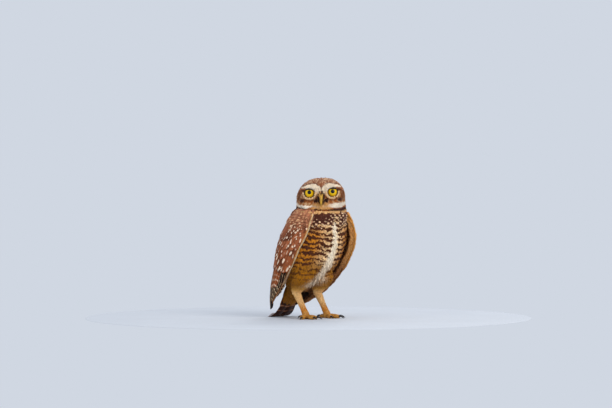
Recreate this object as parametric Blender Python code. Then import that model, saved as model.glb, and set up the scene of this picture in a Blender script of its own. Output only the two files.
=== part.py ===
"""Burrowing owl, life size, standing with its body turned and its face towards the viewer.

The bird faces -Y and +X is its own left. Shapes are worked out in millimetres from the middle of
the two feet, and land in the scene in metres with the middle of the whole bird's box at the origin.
"""

import math

import bmesh
import bpy
import numpy as np
from mathutils import Vector
from mathutils.bvhtree import BVHTree

MM = 0.001
GAP = 0.3  # clearance between touching pieces
FLAT_BELOW = 0.6  # degrees between neighbouring faces that count as one flat face
FOOTPRINT_CENTRE = np.array([6.3, 21.7, 0.0])  # middle of the box, from the middle of the feet

# Body from crown to tail root, one row a station: distance back, height, turn of the station to
# the bird's left, lean of its plane, half width, depth in front, depth behind, squareness.
HEAD_TURN = -45.0
BODY = np.array(
    [
        (-10, 201.0, HEAD_TURN, 0, 0.0, 0.0, 0.0, 1.0),
        (-10, 199.6, HEAD_TURN, 0, 12.0, 11.0, 12.0, 1.0),
        (-10, 195.8, HEAD_TURN, 0, 21.5, 18.5, 21.0, 0.95),
        (-10, 189.5, HEAD_TURN, 0, 28.5, 23.5, 27.5, 0.88),
        (-10, 181.5, HEAD_TURN, 0, 32.8, 26.5, 32.0, 0.82),
        (-10, 172.0, HEAD_TURN, 0, 34.4, 27.0, 33.5, 0.82),
        (-10, 163.0, HEAD_TURN, 0, 35.2, 28.0, 33.5, 0.88),
        (-10, 155.0, -38, 2, 36.5, 31.0, 33.0, 0.96),
        (-8, 146.5, -22, 7, 38.5, 33.0, 33.5, 1.0),
        (-4, 135.0, -6, 13, 43.0, 35.0, 32.5, 0.95),
        (0, 120.0, 0, 18, 45.5, 37.0, 35.0, 0.9),
        (5.5, 104.0, 0, 23, 46.5, 36.0, 38.0, 0.9),
        (13, 88.0, 0, 29, 45.0, 33.5, 38.0, 0.92),
        (22, 73.0, 0, 34, 40.5, 29.0, 34.0, 0.95),
        (31, 60.0, 0, 38, 33.0, 22.5, 27.0, 1.0),
        (39, 50.0, 0, 42, 23.5, 15.5, 18.5, 1.0),
        (45, 43.5, 0, 45, 12.0, 8.5, 9.5, 1.0),
        (48, 40.5, 0, 46, 0.0, 0.0, 0.0, 1.0),
    ]
)
HEAD_ENDS = 6.6  # station where the head is parted from the neck
NECK_ENDS = 8.2  # station where the neck is parted from the torso
HEAD_ROLL = 0.042  # rise of the head towards the bird's left, per unit of width
HEAD_AXIS = np.array([0.0, -10.0, 0.0])

# Face, in the head's own frame: to the bird's left, forward of the head's axis, up.
EYE = (16.4, 14.9, 180.0)
EYE_RADIUS = 8.2
EYE_TURN = 11.0  # outward turn of each eye
EYE_OPENING = 6.2
LID_THICKNESS = 1.1
LID_FLARE = 2.2  # how much wider the opening is at its outer end
LID_CUT_DEPTH = 12.0
LID_CUT_AHEAD = 11.5  # the middle of that cut, ahead of the eye's own middle
# Swellings and hollows of the face: how far each stands out, then its places and spreads.
BRIDGE_RISE, BRIDGE_WIDTH, BRIDGE_HEIGHT, BRIDGE_SPREAD = 2.2, 5.5, 181.0, 12.0
HOLLOW_DEPTH, HOLLOW_WIDTH = 2.6, 10.5
BROW_RISE, BROW_ABOVE, BROW_SLOPE, BROW_LEVEL_AT, BROW_OUT = 2.6, 7.0, 0.16, 12.0, 14.0
BROW_THICK, BROW_WIDTH = 3.8, 12.0
DISC_RISE, DISC_RADIUS, DISC_THICK, DISC_OUT, DISC_HEIGHT, DISC_SQUASH = 0.9, 20.5, 3.0, 9.0, 177.0, 1.05
FACE_REACH, FACE_FADE = 1.25, 80.0  # the relief fades out over this many degrees round the head

# Bill, in the head's middle plane: forward and height of its middle line, half widths and heights.
BILL_UPPER = [(20, 177.5), (28.5, 177.6), (34.0, 173.8), (35.8, 167.5), (33.4, 160.5)]
BILL_UPPER_WIDTHS = [3.8, 3.5, 2.8, 1.9, 0.35]
BILL_UPPER_HEIGHTS = [4.4, 4.1, 3.5, 2.3, 0.4]
BILL_LOWER = [(20, 171.5), (28, 170.0), (32.6, 165.4)]
BILL_LOWER_WIDTHS = [3.0, 2.4, 0.5]
BILL_LOWER_HEIGHTS = [3.4, 2.7, 0.4]
NOSTRIL = (2.9, 31.4, 177.6)
NOSTRIL_RADIUS = 0.9

# Folded wings, one row a station from the shoulder to the tips: distance back, height, lean,
# half width, depth in front, depth behind, angle of the front edge and of the rear edge.
WING = np.array(
    [
        (-6, 155.0, 4, 38.0, 32.5, 31.0, 54, 122),
        (-2, 141.0, 10, 42.5, 36.0, 31.0, 54, 140),
        (2, 125.0, 16, 48.5, 40.0, 33.5, 56, 158),
        (8, 107.0, 22, 52.0, 40.0, 38.0, 60, 166),
        (16, 89.0, 28, 51.5, 36.0, 40.0, 61, 169),
        (26, 71.0, 34, 48.5, 31.0, 37.0, 63, 169),
        (37, 53.0, 40, 44.0, 25.0, 32.5, 65, 168),
        (50, 37.0, 46, 38.0, 18.0, 25.0, 68, 164),
        (62, 23.5, 54, 30.0, 12.5, 16.0, 73, 158),
        (70, 14.0, 64, 21.5, 8.5, 8.5, 82, 150),
        (77, 8.5, 76, 15.0, 5.0, 4.0, 92, 140),
    ]
)
WING_DEPTH = 11.0
WING_PROUD = 4.2  # least height of the wing's outer face over the torso
WING_EDGE = 0.9  # the same at its top and rear edges, where it runs out on the back
EDGE_FROM_TOP, EDGE_FROM_REAR = 1.3, 0.16  # stations, and share of the width, over which it grows
# The bird's left wing hangs off the flank: how far out and forward at each station, and how much
# further round the breast its front edge lies.
HELD_OUT = np.array((5.0, 12.0, 14.0, 12.5, 12.0, 11.0, 9.0, 7.0, 4.0, 2.0, 1.0))
HELD_ROUND = 10.0

# Feather tiers of a wing: count, station of the roots, stations of the tips at the front edge and
# at the rear edge, span across the wing, half width in mm, height of the tips over the wing, and
# how much lower each feather lies than the one behind it.
TIERS = {
    "scapulars": (4, 0.5, 2.3, 3.0, (0.52, 0.87), 7.0, 1.5, 0.0),
    "median coverts": (6, 1.4, 3.1, 3.7, (0.08, 0.88), 7.2, 1.2, 0.0),
    "greater coverts": (7, 2.9, 5.0, 5.6, (0.07, 0.92), 7.0, 0.7, 0.0),
    "secondaries": (6, 4.4, 6.5, 7.9, (0.32, 0.95), 6.0, 0.9, 0.25),
    "primaries": (6, 5.2, 7.2, 9.9, (0.06, 0.56), 4.4, 0.6, 0.4),
}
VANE_THICKNESS = 0.6
VANE_TILT = 0.15  # rise of each vane towards the wing's front edge, so that it clears the next one
VANE_ROWS = 5
VANE_RISE = 0.6  # power of the rise from root to tip, steep at the root
VANE_ROUND_FROM, VANE_BLUNT = 0.62, 0.02  # share where the tip starts to round off, and its bluntness
VANE_ROOT_WIDTH, VANE_FULL_FROM = 0.72, 0.3  # width at the root, and where the vane is at its widest
TIP_THINNER = 0.6
ROOT_DEPTH = 3.0  # how far the roots are sunk under the wing's outer face
CORE_INSET = 0.5  # depth of the wing's core, as a share of the wing's least height
CORE_ENDS = 7.0  # station where the core tapers out under the flight feathers
CORE_TAPER, CORE_END_DEPTH = 1.6, 0.12  # stations over which it tapers, and what is left at its end
CORE_LEAST = 0.4  # the most of the wing's depth that the inset may take
TIP_DEPTH, DEPTH_STEP = 1.6, 2.0  # depth at the tips, and its growth for each station above them
FRONT_DEPTH = 0.6  # depth at the front edge, as a share of the wing's depth
FILLED_FROM, FILLED_OVER = 0.2, 0.35  # places across the wing between which it is filled in

# Tail, from its root to its laid tip: distance back and height of the upper face's middle line.
TAIL_PATH = np.array([(40, 60), (49, 46), (55, 32), (61, 19.5), (68.5, 9.5), (78, 4.8), (87, 4.8)])
TAIL_HALF_WIDTHS = (8.0, 11.5, 13.0, 14.0, 14.0, 13.0, 10.0)
TAIL_DEPTHS = (12.0, 10.0, 8.0, 5.6, 4.2, 3.0, 2.0)
TAIL_CORE_ENDS = 0.62  # share of the path that the tail's core follows
TAIL_CORE_WIDTH, TAIL_CORE_DEPTH = 0.12, 0.45  # what is left of its width and depth at its end
TAIL_SQUARE = 0.8
TAIL_ROOTS = 0.3  # share of the path where the tail feathers start
TAIL_SPREAD = 0.35  # how far apart they lie there, as a share of their spread at the tip
TAIL_MIDDLE_WIDTH = 6.5
TAIL_INNER_EDGE = 0.4
TAIL_OUTER_EDGE = 6.0
TAIL_LAYERS = 5
TAIL_LAYER_STEP = 0.85
TAIL_FAN = 2.7  # how much further out each lower pair of tail feathers reaches
TAIL_SHORTER = 0.012  # how much shorter each lower pair is, as a share of the path
TAIL_COVERTS = 5
# The coverts on the tail: where they start and end, how much sooner the outer ones end, how far
# out they lie, their half width and tilt, and their depth at the root and height at the tip.
COVERT_ROOTS, COVERT_TIPS, COVERT_STEP = 0.18, 0.6, 0.08
COVERT_OUT, COVERT_WIDTH, COVERT_TILT = 7.5, 4.4, 0.2
COVERT_SUNK, COVERT_RAISED, COVERT_CROWN = 2.0, 1.3, 0.4
TAIL_CLEARANCE = 0.4

# Legs, given for the bird's right: x, y, z, radius down the feathered shin and the shank.
STANCE = {
    "right": {"thigh": (-20, 2, 78), "heel": (-21.0, 19, 38), "foot": (-20, 1, 7), "toes_out": 4},
    "left": {"thigh": (20, 2, 78), "heel": (20.0, 17, 37), "foot": (21.5, 0, 7), "toes_out": -6},
}
# Share of the way from hip to heel at four stations, in x, y and z.
THIGH_SHARES = np.array([(0, 0, 0), (0.5, 0.25, 0.42), (0.76, 0.76, 0.76), (1, 1, 1)])
THIGH_RADII = (6.5, 15.2, 11.6, 6.6)
SHANK_RADII = (5.6, 5.2, 4.5, 4.3, 4.8)
PAD_RADII = (4.6, 5.0, 5.4, 5.2, 4.6)
# Each toe: its length, its turn outward from straight ahead, its radius.
TOES = {
    "inner": (18.0, -20.0, 3.0),
    "middle": (23.0, 12.0, 3.2),
    "outer": (18.0, 58.0, 2.9),
    "hind": (12.0, 188.0, 2.9),
}
TOE_PRESSED = 0.82  # height of a toe's middle line over the floor, as a share of its radius
TOE_ROOT_AHEAD, TOE_ROOT_HEIGHT, TOE_ARCH = 1.0, 2.9, 0.9
TOE_SHARES = (0.45, 0.75, 1.0)
TOE_SHAPE = (1.12, 0.9, 1.0, 0.72)
CLAW_LENGTH = 9.0
CLAW_SHARES = (0.0, 0.38, 0.75, 1.0)
CLAW_RADII = (1.45, 1.4, 1.25, 1.0, 0.65, 0.3)
CLAW_ARCH, CLAW_BEND, CLAW_TIP_HEIGHT, CLAW_CLEAR = 0.9, 0.72, 0.35, 0.02

FEATHER_BROWN = (0.30, 0.155, 0.075, 1)
BREAST_BUFF = (0.58, 0.42, 0.22, 1)
LEG_BUFF = (0.66, 0.42, 0.20, 1)
SKIN_YELLOW = (0.55, 0.36, 0.10, 1)
IRIS_YELLOW = (0.85, 0.66, 0.02, 1)
BILL_HORN = (0.62, 0.50, 0.16, 1)
CLAW_DARK = (0.05, 0.04, 0.035, 1)


def clear_scene():
    for obj in list(bpy.data.objects):
        bpy.data.objects.remove(obj, do_unlink=True)


def finish_of(name, colour, roughness):
    """A Principled material of one colour."""
    material = bpy.data.materials.get(name) or bpy.data.materials.new(name)
    material.use_nodes = True
    shader = material.node_tree.nodes["Principled BSDF"]
    shader.inputs["Base Color"].default_value = colour
    shader.inputs["Roughness"].default_value = roughness
    shader.inputs["Metallic"].default_value = 0.0
    return material


def spline(knots, values, places):
    """Natural cubic through values at knots, read at places."""
    knots, values, places = (np.asarray(a, float) for a in (knots, values, places))
    step = np.diff(knots)
    system = np.eye(len(knots))
    right = np.zeros_like(values)
    for i in range(1, len(knots) - 1):
        system[i, i - 1 : i + 2] = step[i - 1], 2 * (step[i - 1] + step[i]), step[i]
        slope_after = (values[i + 1] - values[i]) / step[i]
        slope_before = (values[i] - values[i - 1]) / step[i - 1]
        right[i] = 6 * (slope_after - slope_before)
    bend = np.linalg.solve(system, right)
    i = np.clip(np.searchsorted(knots, places, side="right") - 1, 0, len(step) - 1)
    h = step[i]
    a, b = (knots[i + 1] - places) / h, (places - knots[i]) / h
    a, b, h = (w.reshape(w.shape + (1,) * (values.ndim - 1)) for w in (a, b, h))
    curved = ((a**3 - a) * bend[i] + (b**3 - b) * bend[i + 1]) * h**2 / 6
    return a * values[i] + b * values[i + 1] + curved


def signed_power(value, power):
    return np.sign(value) * np.abs(value) ** power


def bump(distance, width):
    """A smooth swelling, 1 at no distance."""
    return np.exp(-((distance / width) ** 2))


def face_relief(left, height):
    """How far the face stands forward of its plain oval, in the head's own frame."""
    relief = BRIDGE_RISE * bump(left, BRIDGE_WIDTH) * bump(height - BRIDGE_HEIGHT, BRIDGE_SPREAD)
    for side in (-1, 1):
        across, up = left - side * EYE[0], height - EYE[2]
        relief -= HOLLOW_DEPTH * bump(np.hypot(across, up), HOLLOW_WIDTH)
        brow_line = EYE[2] + BROW_ABOVE + BROW_SLOPE * side * (left - side * BROW_LEVEL_AT)
        brow = bump(height - brow_line, BROW_THICK) * bump(left - side * BROW_OUT, BROW_WIDTH)
        rim = np.hypot(left - side * DISC_OUT, (height - DISC_HEIGHT) * DISC_SQUASH)
        relief += BROW_RISE * brow + DISC_RISE * bump(rim - DISC_RADIUS, DISC_THICK)
    return relief


def body_rings(stations, turns):
    """Points of the plumage surface: one row a station, turn 0 in front and growing leftwards."""
    row = spline(np.arange(len(BODY)), BODY, stations)[:, None, :]
    back, height, yaw, lean, half_width, front, behind, square = np.moveaxis(row, -1, 0)
    sine, cosine = np.sin(turns)[None, :], np.cos(turns)[None, :]
    left = half_width * signed_power(sine, square)
    depth = np.where(cosine > 0, front, behind)
    forward = depth * signed_power(cosine, square)
    in_face = np.clip(FACE_REACH - np.abs(turns[None, :]) / math.radians(FACE_FADE), 0, 1)
    in_head = np.clip((HEAD_ENDS + 0.6 - np.asarray(stations)) / 1.5, 0, 1)[:, None]
    roll = HEAD_ROLL * in_head
    on_top = np.clip(np.asarray(stations), 0, 1)[:, None]
    forward = forward + face_relief(left, height) * in_face * in_head * on_top
    yaw, lean = np.radians(yaw), np.radians(lean)
    x = left * np.cos(yaw) + forward * np.sin(yaw)
    y = left * np.sin(yaw) - forward * np.cos(yaw)
    height = height + roll * left
    return np.stack([x, back + y * np.cos(lean), height + y * np.sin(lean)], axis=-1)


def wing_plain(stations, across, inset=0.0, side=1):
    """The folded wing's own oval sweep, before it is lifted off the torso."""
    knots = np.arange(len(WING))
    row = spline(knots, WING, stations)[:, None, :]
    back, height, lean, half_width, front, behind, start, end = np.moveaxis(row, -1, 0)
    if side > 0:
        out = spline(knots, HELD_OUT, stations)[:, None]
        half_width, front, start = half_width + out, front + out, start - HELD_ROUND
    angle = np.radians(start + (end - start) * np.asarray(across)[None, :])
    x = (half_width - inset) * np.sin(angle)
    y = -np.where(np.cos(angle) > 0, front - inset, behind - inset) * np.cos(angle)
    lean = np.radians(lean)
    return np.stack([side * x, back + y * np.cos(lean), height + y * np.sin(lean)], axis=-1)


def lifted(points, tree, least, softness=1.6):
    """Points moved out along the torso's normals so that each is at least its least height off it."""
    moved = points.reshape(-1, 3).copy()
    for i, (point, low) in enumerate(zip(points.reshape(-1, 3), least.ravel())):
        near, normal, _, _ = tree.find_nearest(Vector(point))
        height = (Vector(point) - near).dot(normal)
        wanted = 0.5 * (height + low + math.hypot(height - low, softness))
        moved[i] = point + np.array(normal) * (wanted - height)
    return moved.reshape(points.shape)


def wing_least(stations, across):
    """Least height of the wing's outer face over the torso, low at its top and rear edges."""
    from_top = np.clip(np.asarray(stations) / EDGE_FROM_TOP, 0, 1)[:, None]
    from_rear = np.clip((1 - np.asarray(across)) / EDGE_FROM_REAR, 0, 1)[None, :]
    return WING_EDGE + (WING_PROUD - WING_EDGE) * from_top * from_rear


def wing_rings(stations, across, inset, side, tree):
    """Points of the folded wing: across runs from its front edge to its rear edge."""
    least = wing_least(stations, across)
    outer = lifted(wing_plain(stations, across, 0.0, side), tree, least)
    inner = wing_plain(stations, across, inset, side) - wing_plain(stations, across, 0.0, side)
    return outer + inner


def swollen(rings, by):
    """The same closed rings moved out along their own normals."""
    around = np.roll(rings, -1, axis=1) - np.roll(rings, 1, axis=1)
    normal = np.cross(around, np.gradient(rings, axis=0))
    normal /= np.maximum(np.linalg.norm(normal, axis=-1, keepdims=True), 1e-9)
    outward = rings - rings.mean(axis=1, keepdims=True)
    normal *= np.sign((normal * outward).sum(axis=-1).mean())
    return rings + by * normal


def place(points):
    """Millimetres from the feet, as metres in the model's frame."""
    return (np.asarray(points, float) - FOOTPRINT_CENTRE) * MM


def make_object(name, points, faces, material, smooth_angle=50):
    """An object from a closed mesh, its faces turned outward."""
    mesh = bpy.data.meshes.new(name)
    mesh.from_pydata(place(points).tolist(), [], faces)
    shaped = bmesh.new()
    shaped.from_mesh(mesh)
    bmesh.ops.recalc_face_normals(shaped, faces=shaped.faces)
    shaped.to_mesh(mesh)
    shaped.free()
    mesh.materials.append(material)
    mesh.shade_smooth()
    mesh.set_sharp_from_angle(angle=math.radians(smooth_angle))
    obj = bpy.data.objects.new(name, mesh)
    bpy.context.scene.collection.objects.link(obj)
    return obj


def ring_solid(name, rings, material, first=None, last=None, smooth_angle=50):
    """A closed loft through rings of equal count, each end drawn in to one point."""
    count, sides = rings.shape[:2]
    first = rings[0].mean(axis=0) if first is None else first
    last = rings[-1].mean(axis=0) if last is None else last
    points = np.concatenate([rings.reshape(-1, 3), [first, last]])
    faces = []
    for i in range(count - 1):
        for j in range(sides):
            a, b = i * sides + j, i * sides + (j + 1) % sides
            faces += [(a, b, b + sides), (a, b + sides, a + sides)]
    top, bottom = count * sides, count * sides + 1
    for j in range(sides):
        k = (j + 1) % sides
        faces += [(top, k, j), (bottom, (count - 1) * sides + j, (count - 1) * sides + k)]
    return make_object(name, points, faces, material, smooth_angle)


def tube_rings(path, radii, sides, flatten=1.0, floor=None, up=(0, 0, 1)):
    """Rings square to a path; flatten squeezes them along up, and floor clips them level."""
    path, up = np.asarray(path, float), np.asarray(up, float)
    heading = np.gradient(path, axis=0)
    heading /= np.linalg.norm(heading, axis=1, keepdims=True)
    across = np.cross(heading, up)
    across /= np.linalg.norm(across, axis=1, keepdims=True)
    above = np.cross(across, heading)
    turns = np.linspace(0, 2 * math.pi, sides, endpoint=False)
    radii = np.asarray(radii, float)[:, None, None]
    sine, cosine = np.sin(turns)[None, :, None], np.cos(turns)[None, :, None]
    rings = path[:, None, :] + radii * (cosine * across[:, None] + sine * flatten * above[:, None])
    if floor is not None:
        rings[..., 2] = np.maximum(rings[..., 2], floor)
    return rings


def along(points, count):
    """count places on a smooth curve through a few points."""
    knots = np.arange(len(points))
    return spline(knots, np.asarray(points, float), np.linspace(0, knots[-1], count))


def boolean(obj, operation, cutter, solver="EXACT"):
    """One Boolean with an object or a collection, applied to obj's own mesh."""
    modifier = obj.modifiers.new(operation.title(), "BOOLEAN")
    modifier.operation = operation
    modifier.solver = solver
    if isinstance(cutter, bpy.types.Collection):
        modifier.operand_type = "COLLECTION"
        modifier.collection = cutter
    else:
        modifier.object = cutter
    bpy.context.view_layer.update()
    evaluated = obj.evaluated_get(bpy.context.evaluated_depsgraph_get())
    mesh = bpy.data.meshes.new_from_object(evaluated)
    obj.modifiers.remove(modifier)
    obj.data = mesh


def remove(*objects):
    for obj in objects:
        bpy.data.objects.remove(obj, do_unlink=True)


def keep_largest(obj):
    """Drops every closed surface of the mesh but the largest one, and merges flat neighbours."""
    shaped = bmesh.new()
    shaped.from_mesh(obj.data)
    bmesh.ops.dissolve_limit(
        shaped, angle_limit=math.radians(FLAT_BELOW), verts=shaped.verts, edges=shaped.edges
    )
    bmesh.ops.triangulate(shaped, faces=shaped.faces)
    unseen, islands = set(shaped.verts), []
    while unseen:
        island, edge = set(), [unseen.pop()]
        while edge:
            vertex = edge.pop()
            island.add(vertex)
            near = {e.other_vert(vertex) for e in vertex.link_edges} & unseen
            unseen -= near
            edge += near
        islands.append(island)
    islands.sort(key=len, reverse=True)
    for island in islands[1:]:
        bmesh.ops.delete(shaped, geom=list(island), context="VERTS")
    shaped.to_mesh(obj.data)
    shaped.free()


def fuse(obj, pieces):
    """Joins closed pieces to obj in one union."""
    group = bpy.data.collections.new(obj.name + "_pieces")
    for piece in pieces:
        bpy.context.scene.collection.objects.unlink(piece)
        group.objects.link(piece)
    boolean(obj, "UNION", group, "MANIFOLD")
    remove(*pieces)
    bpy.data.collections.remove(group)
    keep_largest(obj)


def cut(obj, cutters):
    """Cuts obj clear of each cutter and keeps the main body."""
    for cutter in cutters:
        boolean(obj, "DIFFERENCE", cutter, "MANIFOLD")
    keep_largest(obj)


def helper(obj):
    """Marks an object as one that shapes others and is left out of the bird."""
    obj.hide_render = True
    obj.display_type = "WIRE"
    return obj


def turns_of(sides):
    return np.linspace(-math.pi, math.pi, sides, endpoint=False)


def from_head(left, forward, height):
    """A point of the head's own frame in the bird's frame."""
    yaw = math.radians(HEAD_TURN)
    x = left * math.cos(yaw) + forward * math.sin(yaw)
    y = left * math.sin(yaw) - forward * math.cos(yaw)
    return HEAD_AXIS + np.array([x, y, height + HEAD_ROLL * left])


def body_piece(name, first, last, sides, rows, material, lift_first=0.0, lift_last=0.0):
    """The stretch of the body between two stations, flat or drawn to a point at each end."""
    stations = np.linspace(first, last, rows)
    poles = {0.0: BODY[0], float(len(BODY) - 1): BODY[-1]}
    ends = [np.array([0, poles[s][0], poles[s][1]]) if s in poles else None for s in (first, last)]
    if ends[0] is not None:
        stations = np.concatenate([[0.35], stations[1:]])
    if ends[1] is not None:
        stations = np.concatenate([stations[:-1], [last - 0.35]])
    rings = body_rings(stations, turns_of(sides))
    rings[0, :, 2] -= lift_first
    rings[-1, :, 2] += lift_last
    return ring_solid(name, rings, material, *ends)


def swollen_body(name, first, last, sides, rows):
    """The body's surface one gap larger, as a cutter."""
    stations = np.linspace(first, last, rows)
    rings = swollen(body_rings(stations, turns_of(sides)), GAP)
    return helper(ring_solid(name, rings, finish_of("cutter", (1, 0, 0, 1), 0.5)))


def make_body(feathers, breast):
    """Head, neck and torso as one form parted by thin level cuts; gives the head."""
    half = GAP / 2
    head = body_piece("head", 0.0, HEAD_ENDS, 44, 21, feathers, lift_last=half)
    body_piece("neck", HEAD_ENDS, NECK_ENDS, 40, 5, feathers, half, half)
    body_piece("torso", NECK_ENDS, float(len(BODY) - 1), 38, 19, breast, half)
    return head


def eye_place(side):
    left, forward, height = EYE
    return place(from_head(side * left, forward, height))


def make_eyes(head, iris):
    """Two eyeballs in sockets, with a lid that laps over the edge of each."""
    for name, side in (("eye_right", -1), ("eye_left", 1)):
        centre = eye_place(side)
        heading = math.radians(HEAD_TURN + side * EYE_TURN)
        facing = np.array([math.sin(heading), -math.cos(heading), 0.0])
        shapes = {}
        for role, radius in (
            ("ball", EYE_RADIUS),
            ("socket", EYE_RADIUS + GAP),
            ("lid", EYE_RADIUS + GAP + LID_THICKNESS),
        ):
            bpy.ops.mesh.primitive_uv_sphere_add(
                segments=18, ring_count=10, radius=radius * MM, location=centre
            )
            ball = bpy.context.object
            ball.rotation_euler = (math.pi / 2, 0, heading)
            ball.name = name if role == "ball" else name + "_" + role
            shapes[role] = ball
        bpy.ops.mesh.primitive_cone_add(
            vertices=20,
            radius1=EYE_OPENING * MM,
            radius2=(EYE_OPENING + LID_FLARE) * MM,
            depth=LID_CUT_DEPTH * MM,
            location=centre + facing * LID_CUT_AHEAD * MM,
            rotation=(math.pi / 2, 0, heading),
        )
        opening = bpy.context.object
        boolean(head, "UNION", shapes["lid"], "MANIFOLD")
        cut(head, [shapes["socket"], opening])
        remove(shapes["socket"], shapes["lid"], opening)
        shapes["ball"].data.materials.append(iris)
        shapes["ball"].data.shade_smooth()


def bill_rings(path, widths, heights, sides, count):
    """Rings of a bill whose path lies in the head's middle plane."""
    path, widths, heights = (along(values, count) for values in (path, widths, heights))
    spine = np.array([from_head(0, forward, height) for forward, height in path])
    left = from_head(1, 0, 0) - from_head(0, 0, 0)
    left /= np.linalg.norm(left)
    heading = np.gradient(spine, axis=0)
    heading /= np.linalg.norm(heading, axis=1, keepdims=True)
    above = np.cross(left, heading)
    turns = np.linspace(0, 2 * math.pi, sides, endpoint=False)
    sine, cosine = np.sin(turns)[None, :, None], np.cos(turns)[None, :, None]
    widths, heights = widths[:, None, None], heights[:, None, None]
    return spine[:, None] + widths * cosine * left + heights * sine * above[:, None]


def make_bill(horn):
    """The hooked upper bill with its nostrils and the lower bill under it."""
    base = swollen_body("bill_base", 3.0, HEAD_ENDS + 1, 52, 16)
    rings = bill_rings(BILL_UPPER, BILL_UPPER_WIDTHS, BILL_UPPER_HEIGHTS, 12, 9)
    upper = ring_solid("bill_upper", rings, horn, smooth_angle=70)
    clearance = helper(ring_solid("bill_clearance", swollen(rings, GAP), horn))
    lower_rings = bill_rings(BILL_LOWER, BILL_LOWER_WIDTHS, BILL_LOWER_HEIGHTS, 10, 6)
    lower = ring_solid("bill_lower", lower_rings, horn, smooth_angle=70)
    nostrils = []
    for side in (-1, 1):
        bpy.ops.mesh.primitive_uv_sphere_add(
            segments=10,
            ring_count=6,
            radius=NOSTRIL_RADIUS * MM,
            location=place(from_head(side * NOSTRIL[0], NOSTRIL[1], NOSTRIL[2])),
        )
        nostrils.append(bpy.context.object)
    cut(upper, [base, *nostrils])
    cut(lower, [base, clearance])
    remove(base, clearance, *nostrils)


def make_leg(side, leg, feathers, skin, claw_horn, torso_cutter):
    """Feathered thigh, shank, foot with four toes, and a claw on each toe."""
    out = -1 if side == "right" else 1
    half = GAP / 2
    heel, top, sole = (np.array(leg[k], float) for k in ("heel", "thigh", "foot"))
    thigh_path = along([top + (heel - top) * share for share in THIGH_SHARES], 9)
    rings = tube_rings(thigh_path, along(THIGH_RADII, 9), 16, up=(0, 1, 0))
    rings[-1, :, 2] = heel[2] + half
    thigh = ring_solid("thigh_" + side, rings, feathers)
    cut(thigh, [torso_cutter])
    shank = tube_rings(np.linspace(heel, sole, 5), SHANK_RADII, 14, up=(0, 1, 0))
    shank[0, :, 2] = heel[2] - half
    shank[-1, :, 2] = sole[2] + half
    ring_solid("shank_" + side, shank, feathers)
    start = sole * (1, 1, 0)
    pad = tube_rings(np.linspace(sole, start, 5), PAD_RADII, 14, up=(0, 1, 0))
    pad[0, :, 2] = sole[2] - half
    pad[-1, :, 2] = 0
    foot = ring_solid("foot_" + side, pad, skin)
    toes = []
    for name, (length, turn, radius) in TOES.items():
        angle = math.radians(turn + leg["toes_out"])
        ahead = np.array([out * math.sin(angle), -math.cos(angle), 0.0])
        low = radius * TOE_PRESSED
        heights = (TOE_ROOT_HEIGHT, low + TOE_ARCH, low, low)
        reaches = (TOE_ROOT_AHEAD, *(length * np.array(TOE_SHARES)))
        path = [start + ahead * reach + (0, 0, height) for reach, height in zip(reaches, heights)]
        shape = along(radius * np.array(TOE_SHAPE), 7)
        rings = tube_rings(along(path, 7), shape, 8, floor=0.0)
        toes.append(ring_solid("toe", rings, skin))
        make_claw(f"claw_{side}_{name}", start, ahead, length, low, claw_horn)
    fuse(foot, toes)


def make_claw(name, start, ahead, length, height, horn):
    """A curved claw, its face one gap clear of the toe's end."""
    root = start + ahead * (length + GAP)
    heights = (height, height + CLAW_ARCH, height * CLAW_BEND, CLAW_TIP_HEIGHT)
    reaches = CLAW_LENGTH * np.array(CLAW_SHARES)
    path = [root + ahead * reach + (0, 0, lift) for reach, lift in zip(reaches, heights)]
    rings = tube_rings(along(path, 6), CLAW_RADII, 7, floor=CLAW_CLEAR)
    flat = (rings[0] - root) @ ahead
    rings[0] -= flat[:, None] * ahead
    ring_solid(name, rings, horn)


def vane_solid(centres, across, normals, half_widths, material, tilt=0.0, thickness=VANE_THICKNESS):
    """A thin feather: four-sided rows along its shaft, split into triangles alike on both faces."""
    lift = half_widths[:, None] * tilt * normals
    reach = half_widths[:, None] * across
    thick = np.full(len(centres), thickness / 2)
    thick[-1] *= TIP_THINNER
    thick = thick[:, None] * normals
    rings = np.stack(
        [
            centres - reach + lift + thick,
            centres + reach - lift + thick,
            centres + reach - lift - thick,
            centres - reach + lift - thick,
        ],
        axis=1,
    )
    rings[..., 2] = np.maximum(rings[..., 2], 0.0)
    faces = [(0, 1, 2), (0, 2, 3)]
    for i in range(len(centres) - 1):
        a, b = 4 * i, 4 * i + 4
        faces += [(a, b, a + 1), (a + 1, b, b + 1)]
        faces += [(a + 3, a + 2, b + 3), (a + 2, b + 2, b + 3)]
        faces += [(a + 1, b + 1, a + 2), (a + 2, b + 1, b + 2)]
        faces += [(a + 3, b + 3, a), (a, b + 3, b)]
    last = 4 * (len(centres) - 1)
    faces += [(last, last + 2, last + 1), (last, last + 3, last + 2)]
    return make_object("vane", rings.reshape(-1, 3), faces, material)


def vane_shape():
    """Share of its full half width that a feather has at each row, round at its tip."""
    places = np.linspace(0, 1, VANE_ROWS)
    rounded = np.clip((places - VANE_ROUND_FROM) / (1 - VANE_ROUND_FROM + VANE_BLUNT), 0, 1)
    root = VANE_ROOT_WIDTH + (1 - VANE_ROOT_WIDTH) * np.clip(places / VANE_FULL_FROM, 0, 1)
    return np.sqrt(1 - rounded**2) * root


def wing_face(side, tree):
    """The wing's outer face as a fine grid with its normals and its direction towards the rear."""
    stations = np.linspace(0, len(WING) - 1, 61)
    across = np.linspace(-0.05, 1.05, 34)
    points = wing_rings(stations, across, 0.0, side, tree)
    rearward = np.gradient(points, axis=1)
    rearward /= np.linalg.norm(rearward, axis=-1, keepdims=True)
    downward = np.gradient(points, axis=0)
    normals = np.cross(rearward, downward)
    normals /= np.linalg.norm(normals, axis=-1, keepdims=True)
    outward = np.array([side, 0.0, 0.0])
    normals *= np.sign((normals @ outward).mean())
    return {"stations": stations, "across": across, "layers": (points, rearward, normals)}


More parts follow.
